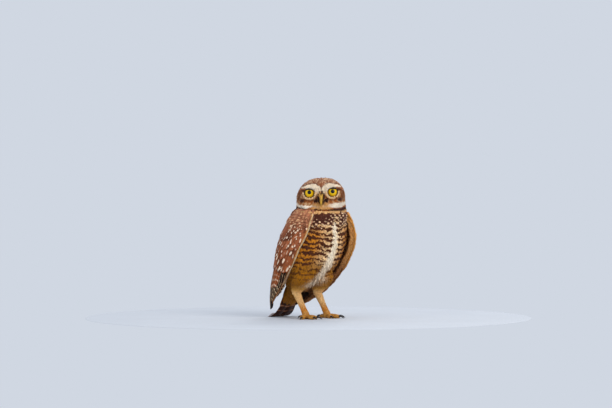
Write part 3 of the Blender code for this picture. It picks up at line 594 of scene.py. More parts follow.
@dataclass
class WingForm:
    """The outer face of one folded wing, lifted clear of the body."""

    side: Side
    rows: int = 121
    columns: int = 45
    softness: float = 1.6
    core_ends: float = 7.0
    lining_ends: float = 8.0
    taper_length: float = 1.6
    taper_least: float = 0.12

    def plain(self, stations: Array, across: Array, inset: Array | float) -> Array:
        """The wing's own oval sweep: at each station an arc from its front to its rear angle.

        Args:
            stations: Station numbers.
            across: Places across, from 0 in front to 1 at the rear.
            inset: Distance to draw the arc in by.

        Returns:
            Places, x, y, z last.
        """
        row = spline(WING, stations)
        back, height, lean, half_width, front, behind, start, end = np.moveaxis(row, -1, 0)
        if self.side is Side.LEFT:
            out = spline(HELD_OUT, stations)
            half_width, front, start = half_width + out, front + out, start - HELD_ROUND
        angle = np.radians(start + (end - start) * across)
        x = self.side.value * (half_width - inset) * np.sin(angle)
        y = -np.where(np.cos(angle) > 0, front - inset, behind - inset) * np.cos(angle)
        lean = np.radians(lean)
        return np.stack([x, back + y * np.cos(lean), height + y * np.sin(lean)], axis=-1)

    def least(self, stations: Array, across: Array) -> Array:
        """Least height of the outer face over the body, low at its top and rear edges.

        Args:
            stations: Station numbers.
            across: Places across, from 0 in front to 1 at the rear.

        Returns:
            Millimetres.
        """
        from_top = np.clip(stations / EDGE_FROM_TOP, 0, 1)
        from_rear = np.clip((1 - across) / EDGE_FROM_REAR, 0, 1)
        return WING_EDGE + (WING_PROUD - WING_EDGE) * from_top * from_rear

    def lifted(self, stations: Array, across: Array, inset: Array | float, body: Surface) -> Array:
        """The sweep, moved out along the body's normals to its least height, less the inset.

        Height over the body is measured along the normal of the nearest body point, and becomes
        the soft larger one of itself and the least height: half of h + low + hypot(h - low, s).

        Args:
            stations: Station numbers.
            across: Places across, from 0 in front to 1 at the rear.
            inset: Depth under the outer face.
            body: The body's surface.

        Returns:
            Places, x, y, z last.
        """
        stations, across = np.broadcast_arrays(stations, across)
        plain = self.plain(stations, across, 0.0)
        flat = plain.reshape(-1, 3)
        near_points = body.points[120:, ::3].reshape(-1, 3)
        near_normals = body.normals[120:, ::3].reshape(-1, 3)
        squares = (near_points**2).sum(axis=1)
        nearest = np.concatenate(
            [np.argmin(squares - 2 * part @ near_points.T, axis=1) for part in np.array_split(flat, 12)]
        )
        normals = near_normals[nearest]
        height = ((flat - near_points[nearest]) * normals).sum(axis=1)
        low = self.least(stations, across).ravel()
        wanted = 0.5 * (height + low + np.hypot(height - low, self.softness))
        moved = (flat + normals * (wanted - height)[:, None]).reshape(plain.shape)
        return moved + self.plain(stations, across, inset) - plain

    def surface(self, body: Surface) -> Surface:
        """The outer face as a surface of station by place across, front edge at 0.

        Args:
            body: The body's surface.

        Returns:
            The surface.
        """
        stations = np.linspace(-0.25, len(WING) - 1, self.rows)
        across = np.linspace(-0.08, 1.06, self.columns)
        points = self.lifted(stations[:, None], across[None, :], 0.0, body)
        inner = self.lifted(stations[:, None], np.array([[0.5]]), 20.0, body)
        return Surface(stations, across, points, inner[:, 0])

    def depth(self, stations: Array, across: Array) -> Array:
        """Depth of the wing's core: thin along the front edge, filled to the flank behind it.

        Args:
            stations: Station numbers.
            across: Places across, from 0 in front to 1 at the rear.

        Returns:
            Millimetres.
        """
        filled = WING_DEPTH
        if self.side is Side.LEFT:
            filled = filled + spline(HELD_OUT, stations)
        front = WING_DEPTH * 0.6
        share = np.clip((across - 0.2) / 0.35, 0, 1)
        return np.minimum(front + (filled - front) * share, 1.6 + 2.0 * (len(WING) - 1 - stations))

    def taper(self, stations: Array, ends: float) -> Array:
        """Share of the core's depth that is left near its end."""
        return np.clip((ends - stations) / self.taper_length, self.taper_least, 1)

    def inner_face(self, body: Surface) -> Surface:
        """The core's inner face, which looks at the flank.

        Args:
            body: The body's surface.

        Returns:
            The surface.
        """
        stations = np.linspace(0, self.lining_ends, 81)
        across = np.linspace(-0.02, 0.7, 25)
        grid = (stations[:, None], across[None, :])
        points = self.lifted(*grid, self.depth(*grid) * self.taper(grid[0], self.lining_ends), body)
        outer = self.lifted(stations[:, None], np.array([[0.35]]), -10.0, body)
        return Surface(stations, across, points, outer[:, 0])

    def rim(self, body: Surface, at: float) -> Surface:
        """The front or rear face of the wing's core, outer edge at 0 and inner edge at 1.

        Args:
            body: The body's surface, which the wing keeps clear of.
            at: 0 for the front face, 1 for the rear one.

        Returns:
            The face, 8 stations long.
        """
        stations = np.linspace(0, self.lining_ends, 81)
        through = np.linspace(-0.15, 1.15, 11)
        taper = self.taper(stations[:, None], self.lining_ends)
        depth = self.depth(stations[:, None], np.full((1, 1), at)) * taper
        points = self.lifted(stations[:, None], at + 0 * through[None, :], depth * through[None, :], body)
        inside = self.lifted(stations[:, None], np.array([[0.3 + 0.4 * at]]), 3.0, body)
        return Surface(stations, through, points, inside[:, 0])

    def core_rings(self, body: Surface) -> Array:
        """Rings of the wing's core: its outer face, slightly sunk, and its inner face.

        Args:
            body: The body's surface.

        Returns:
            Rings, from the shoulder down.
        """
        stations = np.linspace(0, self.core_ends, 40)[:, None]
        across = np.linspace(0, 1, 24)[None, :]
        taper = self.taper(stations, self.core_ends)
        depth = self.depth(stations, across)
        inset = np.minimum(0.9 * self.least(stations, across), depth * 0.4)
        outer = self.lifted(stations, across, inset, body)
        inner = self.lifted(stations, across[:, ::-1], (inset + (depth - inset) * taper)[:, ::-1], body)
        return np.concatenate([outer, inner], axis=1)


@dataclass
class LegForm:
    """Feathered thigh and shank of one leg, each a tube along its own line."""

    side: Side

    @property
    def stance(self) -> dict:
        """Hip, heel, foot and turn of the toes of this leg."""
        return STANCE[self.side.word]

    def thigh_path(self, count: int) -> Array:
        """Middle line of the thigh from inside the belly to the heel."""
        hip, heel = (np.array(self.stance[key], float) for key in ("thigh", "heel"))
        return along(hip + (heel - hip) * THIGH_SHARES, count)

    def shank_path(self, count: int) -> Array:
        """Straight middle line of the shank from the heel to the foot."""
        heel, foot = (np.array(self.stance[key], float) for key in ("heel", "foot"))
        return np.linspace(heel, foot, count)

    def tube(self, path: Array, radii: tuple[float, ...], inset: float) -> Array:
        """Rings of a stretch of the leg, its radii less the inset."""
        return tube_rings(path, along(np.array(radii), len(path)) - inset, 24, (0, 1, 0))

    def surface(self, path: Array, radii: tuple[float, ...]) -> Surface:
        """A stretch of the leg as a surface of share along it by turn round it.

        Args:
            path: Middle line.
            radii: A few radii along it.

        Returns:
            The surface.
        """
        rings = self.tube(path, radii, 0.0)
        wrapped = np.concatenate([rings[:, -4:], rings, rings[:, :5]], axis=1)
        turns = (np.arange(wrapped.shape[1]) - 4) * 2 * math.pi / rings.shape[1]
        return Surface(np.linspace(0, 1, len(path)), turns, wrapped, path)


@dataclass
class TailForm:
    """The closed tail, bent so that its tips lie level on the floor."""

    half_widths: tuple[float, ...] = (8.0, 11.5, 13.0, 14.0, 14.0, 13.0, 10.0)
    depths: tuple[float, ...] = (12.0, 10.0, 8.0, 5.6, 4.2, 3.0, 2.0)
    core_ends: float = 0.62

    def core_rings(self) -> Array:
        """Rings of the tail's core, oval at the root and drawn in under the feathers.

        Returns:
            Rings, from the root on.
        """
        count = 24
        places = np.linspace(0, (len(TAIL_PATH) - 1) * self.core_ends, count)
        path = spline(TAIL_PATH, places)
        widths = spline(np.array(self.half_widths), places) * np.sqrt(np.linspace(1, 0.12, count))
        depths = spline(np.array(self.depths), places) * np.linspace(1, 0.45, count)
        heading = unit(np.gradient(path, axis=0))
        turns = full_turn(24)
        x = widths[:, None] * signed_power(np.cos(turns), 0.8)[None, :]
        lift = depths[:, None] / 2 * (signed_power(np.sin(turns), 0.8)[None, :] - 1) - 0.5
        y = path[:, :1] - lift * heading[:, 1:]
        z = path[:, 1:] + lift * heading[:, :1]
        return np.stack([x, y, z], axis=-1)

    def line(self, first: float, last: float, depth: Array, left: Array) -> tuple[Array, Array]:
        """One shaft on the tail, as deep under its bent middle line as the depths say.

        Args:
            first: Share of the tail's length at the root.
            last: Share at the tip.
            depth: Depth at each row.
            left: Distance to the bird's left at each row.

        Returns:
            Places and normals of the rows.
        """
        rows = depth.shape[-1]
        places = np.linspace(first, last, rows) * (len(TAIL_PATH) - 1)
        path = spline(TAIL_PATH, places)
        heading = unit(np.gradient(path, axis=0))
        normals = np.stack([np.zeros(rows), -heading[:, 1], heading[:, 0]], axis=1)
        middles = np.broadcast_to(path, depth.shape + (2,))
        centres = np.concatenate([left[..., None], middles], axis=-1) - depth[..., None] * normals
        return centres, normals


# Feathers


@dataclass(frozen=True)
class Cut:
    """Outline and section of one kind of feather.

    The top has an odd number of points from edge to edge, drooping to the edges, and one more
    point under the shaft closes the section.
    """

    rows: int = 4
    columns: int = 3
    round_from: float = 0.45
    blunt: float = 0.25
    root_width: float = 0.45
    full_from: float = 0.4
    droop: float = 0.3
    thickness: float = 0.22
    fray: float = 0.0
    tilt: float = 0.0

    def places(self) -> Array:
        """Share of the length at each row, closer together towards the tip."""
        return 1 - (1 - np.linspace(0, 1, self.rows)) ** 1.35

    def profile(self) -> Array:
        """Share of the half width at each row: widening from the root, then round to the tip.

        Returns:
            One share a row.
        """
        places = self.places()
        rounded = np.clip((places - self.round_from) / (1 - self.round_from), 0, 1)
        tip = self.blunt + (1 - self.blunt) * np.sqrt(1 - rounded**2)
        root = self.root_width + (1 - self.root_width) * smooth(places, 0, self.full_from)
        return tip * root

    @property
    def triangles(self) -> int:
        """Triangles of one feather, with its two end faces."""
        ring = self.columns + 1
        return (self.rows - 1) * ring * 2 + 2 * (ring - 2)


@dataclass
class Shafts:
    """Middle lines of many feathers with an equal number of rows."""

    points: Array
    headings: Array
    normals: Array
    unwrap: Array
    shown: Array
    lengths: Array


@dataclass
class Laid:
    """Feathers laid on a form, as their dresser sees them."""

    points: Array
    beside: Array
    share: Array
    shown: Array
    chance: Array
    unwrap: Array

    def varied(self, colours: Array, amount: float, draw: int = 0) -> Array:
        """Colours made lighter or darker by up to the amount, by one of each feather's chances."""
        return colours * (1 + amount * (2 * self.chance[:, draw] - 1))[:, None]

    def drop(self, tall: float) -> Array:
        """Field of a pale drop near the tip: 1 less the distances from its middle over its sizes."""
        return 1 - np.abs(self.beside) / 0.75 - np.abs(self.share - 0.8) / tall


# A feather's look: its ground and mark colours and, at each point, the mark's field
Look = tuple[Array, Array, Array | float]
Dresser = Callable[[Laid], Look]


def lay(cut: Cut, shafts: Shafts, half_widths: Array, random: np.random.Generator) -> tuple[Array, Array]:
    """Rings of closed feathers round their shafts.

    A point at place x of the top, from -1 to 1, lies x half widths to the side and droop x x half
    widths down; the tilt raises one side and lowers the other; fray moves the edge points of the
    outer half of each feather along it by random amounts.

    Args:
        cut: Outline and section.
        shafts: Middle lines.
        half_widths: One for each feather.
        random: Source of the random draw.

    Returns:
        Feathers by rows by ring by x, y, z, and the place x of each point of the ring.
    """
    across = unit(np.cross(shafts.normals, shafts.headings))
    x = np.linspace(-1, 1, cut.columns)
    width = half_widths[:, None] * cut.profile()
    side = (width[..., None] * x)[..., None] * across[:, :, None]
    down = (width[..., None] * (cut.droop * x * x + cut.tilt * x))[..., None] * shafts.normals[:, :, None]
    top = shafts.points[:, :, None] + side - down
    if cut.fray:
        amount = cut.fray * half_widths[:, None, None] * smooth(cut.places(), 0.55, 0.85)[None, :, None]
        move = amount * random.uniform(-1, 0.3, top.shape[:3]) * (np.abs(x) > 0.4)
        top = top + move[..., None] * shafts.headings[:, :, None]
    thick = (cut.thickness * (0.4 + 0.6 * cut.profile()))[None, :, None]
    under = shafts.points - thick * shafts.normals
    return np.concatenate([top, under[:, :, None]], axis=2), np.append(x, 0.0)


@dataclass
class Coat:
    """Feathers gathered for one part of the bird and written as meshes of limited size."""

    name: str
    slot: str
    random: np.random.Generator
    limit: int = 190_000
    patch: float = 0.0015
    batches: list = field(default_factory=list)

    def add(self, cut: Cut, shafts: Shafts, half_widths: Array | float, dress: Dresser) -> None:
        """Lays and dresses feathers, and keeps what their meshes need in batches.

        Args:
            cut: Outline and section.
            shafts: Middle lines.
            half_widths: One for all feathers or one for each.
            dress: Gives their look.
        """
        count = len(shafts.points)
        half_widths = np.broadcast_to(np.asarray(half_widths, float), count)
        rings, x = lay(cut, shafts, half_widths, self.random)
        shape = rings.shape[:3]
        chance = self.random.random((count, 4))
        laid = Laid(rings, x[None, None, :], cut.places()[None, :, None], shafts.shown, chance, shafts.unwrap)
        ground, mark, drawn = dress(laid)
        share, beside = np.broadcast_to(laid.share, shape), np.broadcast_to(x, shape)
        wide, long, luck = half_widths[:, None, None], shafts.lengths[:, None, None], chance[:, :1, None]
        vane = np.stack([beside * wide, share * long, np.broadcast_to(luck, shape)], axis=-1)
        patch = np.stack([beside, share * 2 - 1], axis=-1) * self.patch + shafts.unwrap[:, None, None]
        colours = [np.broadcast_to(colour, (count, 3))[:, None, None] for colour in (ground, mark)]
        layers = (rings, *colours, np.broadcast_to(drawn, shape)[..., None], vane, patch)
        layers = [np.broadcast_to(layer, shape + layer.shape[-1:]) for layer in layers]
        step = self.limit // (2 * cut.triangles)
        for start in range(0, count, step):
            self.batches.append((cut, [layer[start : start + step] for layer in layers]))

    def finish(self, material: Material) -> None:
        """Writes the gathered feathers as pieces, each under the limit of triangles.

        Args:
            material: Finish of the plumage.
        """
        groups, size = [[]], 0
        for cut, layers in self.batches:
            triangles = cut.triangles * len(layers[0])
            if size + triangles > self.limit and groups[-1]:
                groups.append([])
                size = 0
            groups[-1].append(layers)
            size += triangles
        for number, group in enumerate(groups, 1):
            self.write(self.name if len(groups) == 1 else f"{self.name}_{number}", group, material)

    def write(self, name: str, group: list, material: Material) -> None:
        """One piece: each feather is a tube of quads, closed by a face at its root and its tip.

        Args:
            name: Name of the piece.
            group: Layers of each batch: places, two colours, field, vane place and unwrap.
            material: Finish of the plumage.
        """
        faces, offset = [], 0
        for rings, *_ in group:
            count, rows, ring = rings.shape[:3]
            base = offset + np.arange(count)[:, None, None] * rows * ring
            row = base + np.arange(rows - 1)[:, None] * ring
            j = np.arange(ring)
            k = (j + 1) % ring
            quads = np.stack([row + j, row + k, row + k + ring, row + j + ring], axis=-1)
            faces += [quads, base[:, 0] + j[::-1], base[:, 0] + (rows - 1) * ring + j]
            offset += count * rows * ring
        flat = [[layer.reshape(-1, layer.shape[-1]) for layer in layers] for layers in group]
        points, ground, mark, drawn, vane, patch = (np.concatenate(parts) for parts in zip(*flat))
        mesh = build_mesh(name, points, *faces)
        paint(mesh, ground, mark, drawn, vane)
        corners = np.concatenate([some.ravel() for some in faces])
        unwrap = mesh.uv_layers.new(name="OFBake")
        unwrap.uv.foreach_set("vector", patch[corners].astype(np.float32).ravel())
        add_piece(name, outward(mesh), material)


def distances(slopes: Array, steps: Array) -> Array:
    """Distance from the first step to each: the running sum of mean slope times step."""
    return np.concatenate([[0], np.cumsum((slopes[1:] + slopes[:-1]) / 2 * np.diff(steps))])


@dataclass
class Lattice:
    """Staggered rows of feather roots over a surface, at even distances along and across."""

    surface: Surface
    first: float
    last: float
    low: float
    high: float
    pitch: float
    side_pitch: float
    jitter: float = 0.33

    def roots(self, random: np.random.Generator) -> tuple[Array, Array]:
        """Both parameters of every root.

        Rows stand where the mean distance down the surface has grown by one pitch, and roots of
        a row where the distance across has grown by one side pitch, half a step on in every
        second row.

        Args:
            random: Source of the jitter.

        Returns:
            First and second parameters.
        """
        fine = np.linspace(self.first, self.last, 400)
        columns = np.linspace(self.low, self.high, 181)
        down = self.surface.read(fine[:, None], columns[None, ::6])[2]
        distance = distances(np.linalg.norm(down, axis=-1).mean(axis=1), fine)
        rows = np.interp(np.arange(0, distance[-1], self.pitch), distance, fine)
        firsts, seconds = [], []
        for number, row in enumerate(rows):
            across = self.surface.read(np.full(len(columns), row), columns)[3]
            around = distances(np.linalg.norm(across, axis=-1), columns)
            count = max(int(round(around[-1] / self.side_pitch)), 1)
            wanted = (np.arange(count) + 0.25 + 0.5 * (number % 2)) / count * around[-1]
            wanted = wanted + random.uniform(-1, 1, count) * self.jitter * self.side_pitch
            seconds.append(np.interp(wanted, around, columns))
            step = rows[min(number + 1, len(rows) - 1)] - rows[max(number - 1, 0)]
            firsts.append(row + random.uniform(-1, 1, count) * self.jitter * step / 2)
        return np.concatenate(firsts), np.concatenate(seconds)


@dataclass(frozen=True)
class Rise:
    """How a feather climbs out of the coat: sunk at its root, out at its tip."""

    sunk: float
    out: float
    power: float = 1.0

    def at(self, share: Array) -> Array:
        """Height over the form's surface at each share of the length."""
        return -self.sunk + (self.sunk + self.out) * share**self.power


def follow(
    surface: Surface, first: Array, second: Array, lengths: Array, cut: Cut, rise: Rise,
    swing: Array | float = 0.0, lift: Array | float = 0.0,
) -> Shafts:
    """Shafts that run down a surface, each step along its slope turned by a small swing.

    A step of so many millimetres becomes steps of both parameters by solving the two slopes'
    products with it.

    Args:
        surface: Form that carries the feathers.
        first: First parameter of the roots.
        second: Second parameter of the roots.
        lengths: One for each feather.
        cut: Gives the rows.
        rise: Height over the surface along a feather.
        swing: Turn from the surface's own down direction, in radians.
        lift: How far each tip stands out more than the rise says.

    Returns:
        The shafts.
    """
    places = cut.places()
    found, u, v = [], first, second
    swing, lift = (np.broadcast_to(value, len(first))[:, None] for value in (swing, lift))
    for share, ahead in zip(places, np.append(np.diff(places), 0.0)):
        point, normal, down, across = surface.read(u, v)
        straight = unit(down)
        heading = unit(straight * np.cos(swing) + unit(np.cross(normal, straight)) * np.sin(swing))
        found.append((point + normal * (rise.at(share) + lift * share**2), heading, normal, point))
        step = heading * (lengths * ahead)[:, None]
        a, b, c = (down * down).sum(-1), (down * across).sum(-1), (across * across).sum(-1)
        p, q = (down * step).sum(-1), (across * step).sum(-1)
        det = np.maximum(a * c - b * b, 1e-9)
        u = u + np.clip((c * p - b * q) / det, -0.6, 0.6)
        v = v + np.clip((a * q - b * p) / det, -0.6, 0.6)
    paths, headings, normals, bare = (np.stack(kind, axis=1) for kind in zip(*found))
    unwrap = np.clip(surface.unwrapped(first, second), 0.005, 0.995)
    return Shafts(paths, headings, normals, unwrap, bare[:, np.argmax(places > SHOWN_AT)], lengths)


def arched(
    points: Array, normals: Array, headings: Array, lengths: Array, cut: Cut, heights: Array, unwrap: Array
) -> Shafts:
    """Shafts that bend round a ball as wide as the head: sine of the angle ahead, cosine out.

    Args:
        points: Roots.
        normals: The surface's normals there.
        headings: Ways that the feathers point.
        lengths: One for each feather.
        cut: Gives the rows.
        heights: Height over the ball, by feather and row.
        unwrap: Middle of each feather's patch.

    Returns:
        The shafts.
    """
    headings = unit(headings - (headings * normals).sum(-1, keepdims=True) * normals)
    places = cut.places()
    angle = (lengths[:, None] * places / HEAD_RADIUS)[..., None]
    h, n = headings[:, None], normals[:, None]
    path = points[:, None] + h * HEAD_RADIUS * np.sin(angle) - n * HEAD_RADIUS * (1 - np.cos(angle))
    bent = n * np.cos(angle) + h * np.sin(angle)
    ahead = h * np.cos(angle) - n * np.sin(angle)
    path = path + bent * heights[:, :, None]
    shown = points + headings * (0.7 * lengths)[:, None]
    return Shafts(path, ahead, bent, unwrap, shown, lengths)


# Colours of the plumage


def mixed(low: Array, high: Array, share: Array) -> Array:
    """A mix of two colours, or arrays of colours, by a share from 0 to 1."""
    share = np.asarray(share, float)[..., None]
    return low * (1 - share) + high * share


@dataclass(frozen=True)
class Palette:
    """Colours of the living bird's plumage, written as the eye sees them and kept as light."""

    crown: Triple = (152, 92, 58)
    crown_mark: Triple = (222, 180, 140)
    brow: Triple = (250, 230, 202)
    bridge: Triple = (248, 218, 180)
    lore: Triple = (58, 26, 14)
    ring: Triple = (244, 206, 154)
    cheek: Triple = (168, 92, 36)
    cheek_dark: Triple = (78, 40, 24)
    band: Triple = (250, 232, 208)
    chin: Triple = (220, 162, 94)
    collar: Triple = (70, 32, 18)
    under_collar: Triple = (232, 178, 116)
    breast: Triple = (84, 42, 28)
    stripe: Triple = (250, 234, 208)
    flank: Triple = (244, 204, 150)
    gold: Triple = (188, 116, 26)
    belly: Triple = (156, 98, 8)
    vent: Triple = (136, 84, 6)
    bar: Triple = (84, 40, 16)
    wing: Triple = (146, 82, 50)
    # Greyer tone of the shoulder, pale partly as a painted highlight on the wing's top.
    shoulder: Triple = (178, 120, 88)
    wing_low: Triple = (148, 78, 38)
    drop: Triple = (250, 224, 194)
    edge: Triple = (238, 206, 158)
    ochre: Triple = (222, 148, 58)
    ochre_low: Triple = (150, 98, 56)
    primary: Triple = (46, 27, 18)
    primary_bar: Triple = (226, 190, 146)
    tertial: Triple = (176, 102, 54)
    tail: Triple = (54, 26, 18)
    tail_tip: Triple = (150, 100, 70)
    thigh: Triple = (196, 140, 54)
    shank: Triple = (240, 190, 124)
    shank_low: Triple = (208, 130, 44)

    def __post_init__(self) -> None:
        """Turns every colour into light."""
        for hue in fields(self):
            object.__setattr__(self, hue.name, linear(*getattr(self, hue.name)))


HUES = Palette()


def curve(value: Array, table: dict[float, float]) -> Array:
    """Straight mix between the entries of a small table."""
    return np.interp(value, list(table), list(table.values()))


# Lines of the face: heights of their middles and half heights, over the distance to the left, or to
# either side for the brows and the collar's half height; and places of the dark lores over the height
BROW_HEIGHTS = {0.5: 184.0, 3: 185.2, 7: 187.4, 10: 188.9, 13: 189.6, 16: 189.9, 22: 189.4, 28: 188.0}
BROW_HALVES = {0.5: 1.6, 3: 3.4, 7: 5.4, 10: 4.8, 13: 3.7, 16: 2.8, 22: 1.8, 28: 0.9}
LORE_PLACES = {168: 5.0, 172: 4.2, 176: 3.2, 180: 2.2}
BAND_HEIGHTS = {-37: 169.0, -34: 165.6, -31: 162.6, -22: 161.2, -10: 161.6, 0: 160.4, 10: 162.0, 20: 162.2}
BAND_HEIGHTS |= {29: 162.4, 36: 165.5}
BAND_HALVES = {-39: 1.4, -33: 2.2, -28: 2.4, -20: 1.7, -10: 1.2, 0: 0.7, 8: 1.5, 14: 2.8, 22: 3.5}
BAND_HALVES |= {30: 3.4, 37: 1.4}
COLLAR_HEIGHTS = {-36: 161.0, -28: 157.4, -20: 156.6, 0: 156.8, 20: 156.0, 28: 156.0, 36: 157.6}
COLLAR_HALVES = {0: 0.5, 10: 0.7, 18: 1.4, 30: 2.3}

# Lines of the body over the height: turn of the pale stripe's middle in degrees, its half width,
# and the threshold that breaks the bars up towards the belly, one bar every BAR_PITCH
STRIPE_TURNS = {45: -10.0, 58: 2.0, 66: 4.0, 74: 7.0, 89: 6.0, 113: 3.0, 134: 1.0}
STRIPE_HALVES = {46: 25.0, 56: 20.0, 70: 16.0, 90: 12.0, 113: 9.5, 130: 8.5}
BAR_THRESHOLDS = {46: 1.5, 52: 0.75, 62: 0.4, 78: 0.25, 95: 0.0, 125: -0.15}
BAR_PITCH = 7.4


def face_colours(points: Array) -> tuple[Array, Array]:
    """Ground colour of the head at each place, and how strongly crown streaks show there.

    Zones are soft bands about lines that are drawn by distance b from the middle plane and
    height: brows, dark edge over them, lores, pale rings under the eyes, cheek spots, white band,
    collar and the buff line under it. Later zones cover earlier ones.

    Args:
        points: Places in millimetres.

    Returns:
        The colours and the streaks' strength.
    """
    left, forward, height = to_head(points)
    b = np.abs(left)
    front = smooth(forward, 4, 12)
    colour = np.broadcast_to(HUES.crown, points.shape).copy()
    streaks = 1 - front * smooth(height, 191, 186)
    reach = eye_reach(left, height)

    def cover(over: Array, share: Array) -> None:
        """Lays one zone over the colours so far, and takes the streaks away from it.

        Args:
            over: The zone's colour.
            share: How much of it shows at each place.
        """
        nonlocal colour, streaks
        share = np.clip(share, 0, 1)
        colour = mixed(colour, over, share)
        streaks = streaks * (1 - share)

    fleck = 0.5 + 0.5 * ripple(points, 7.0, 1.0)
    cover(HUES.cheek, front * smooth(height, 188, 184))
    flecked = smooth(height, 158, 162) * smooth(fleck, 0.45, 0.7)
    cover(HUES.ring, 0.6 * front * smooth(height, 182, 178) * flecked)
    cover(HUES.bridge, front * smooth(b, 8, 4) * smooth(height, 190.5, 187.5) * smooth(height, 176, 179))
    cover(HUES.ring, front * smooth(reach, 10.8, 9.6) * smooth(height, 184, 180))
    arc = smooth(np.abs(reach - 11.6), 1.5, 0.5)
    cover(HUES.cheek_dark, 0.55 * front * arc * smooth(height, 179, 173) * smooth(b, 30, 22))
    brow_height, brow_half = curve(b, BROW_HEIGHTS), curve(b, BROW_HALVES)
    over = (height - brow_height) / brow_half
    in_brow = smooth(b, 0.6, 2) * smooth(b, 31, 26) * front
    cover(HUES.cheek_dark, 0.55 * in_brow * smooth(np.abs(height - brow_height - brow_half - 0.9), 1.5, 0.5))
    cover(HUES.brow, in_brow * smooth(np.abs(over), 1.12, 0.9))
    buff = smooth(np.abs(over), 1.0, 0.8) * smooth(ripple(points, 3.4, 12.0), 0.0, 0.5)
    cover(HUES.bridge, 0.75 * in_brow * buff)
    cover(HUES.crown, 0.7 * front * smooth(b, 1.1, 0.4) * smooth(height, 183, 187))
    behind_eye = np.hypot((b - 24.5) / 4.4, (height - 184.9 + 0.1 * (b - 20)) / 1.4)
    cover(HUES.lore, 0.85 * front * smooth(behind_eye, 1.2, 0.7))
    under_eye = front * smooth(reach, 11.6, 10.6) * smooth(height, 181, 177)
    cover(HUES.cheek, 0.6 * under_eye * smooth(ripple(points, 3.6, 9.0), -0.05, 0.5))
    strip = smooth(np.abs(b - curve(height, LORE_PLACES)), 1.8, 0.9)
    cover(HUES.lore, 0.9 * front * strip * smooth(height, 181.5, 179) * smooth(height, 166, 169))
    cover(HUES.lore, front * smooth(np.hypot((b - 6.2) / 4.6, (height - 169.4) / 3.0), 1.15, 0.85))
    cover(HUES.cheek_dark, front * smooth(np.hypot((b - 26.5) / 3.6, (height - 170.2) / 2.6), 1.3, 0.6))
    rear = smooth(b, 25, 30) * smooth(height, 168, 172) * smooth(height, 186, 182)
    cover(HUES.cheek_dark, 0.55 * front * rear)
    around = smooth(forward, -8, 2)
    cover(HUES.chin, around * smooth(b, 18, 9) * smooth(height, 166.5, 164) * smooth(height, 156, 158))
    white = smooth(np.abs(height - curve(left, BAND_HEIGHTS)) / curve(left, BAND_HALVES), 1.2, 0.8)
    cover(HUES.band, around * white * (0.2 + 0.8 * smooth(b, 5, 20)) * smooth(b, 1, 4))
    collar_height, collar_half = curve(left, COLLAR_HEIGHTS), curve(b, COLLAR_HALVES)
    cover(HUES.under_collar, around * smooth(np.abs(height - collar_height + 3.4), 2.2, 1.3))
    cover(HUES.collar, around * smooth(np.abs(height - collar_height) / collar_half, 1.3, 0.7))
    return colour, np.clip(streaks, 0, 1)


def body_turn(points: Array) -> Array:
    """Turn about the body's middle line in radians, 0 in front and growing to the bird's left."""
    middle = np.interp(-points[..., 2], -BODY[:, 1], BODY[:, 0])
    return np.arctan2(points[..., 0], middle - points[..., 1])


def on_back(points: Array) -> Array:
    """How surely a place lies on the back, by its turn about the body's middle line."""
    turn = np.degrees(body_turn(points))
    return np.where(turn > 0, smooth(turn, 122, 132), smooth(-turn, 70, 95))


def breast_spots(points: Array) -> Array:
    """Field of round spots, in rows that alternate: two cosines multiplied, and a ripple, with fewer spots as
    painted shade on the bird's right of the upper breast.

    Args:
        points: Places in millimetres.

    Returns:
        The field, above 0 inside a spot.
    """
    turn = body_turn(points)
    rows = np.cos(points[..., 2] * 2 * math.pi / 5.8 + 1.2 * ripple(points, 30.0, 6.0))
    files = np.cos(turn * 2 * math.pi * 4.0 + 1.5 * ripple(points, 26.0, 8.0))
    # Painted shade: the upper breast on the bird's right, by the wing's top, keeps fewer pale spots.
    painted_side_shade = 0.8 * smooth(-turn, 0.15, 0.5) * smooth(points[..., 2], 136, 146) * (1 - on_back(points))
    sparser = 0.3 + 0.35 * on_back(points)
    return rows * files + 0.6 * ripple(points, 8.0, 7.0) - sparser - painted_side_shade


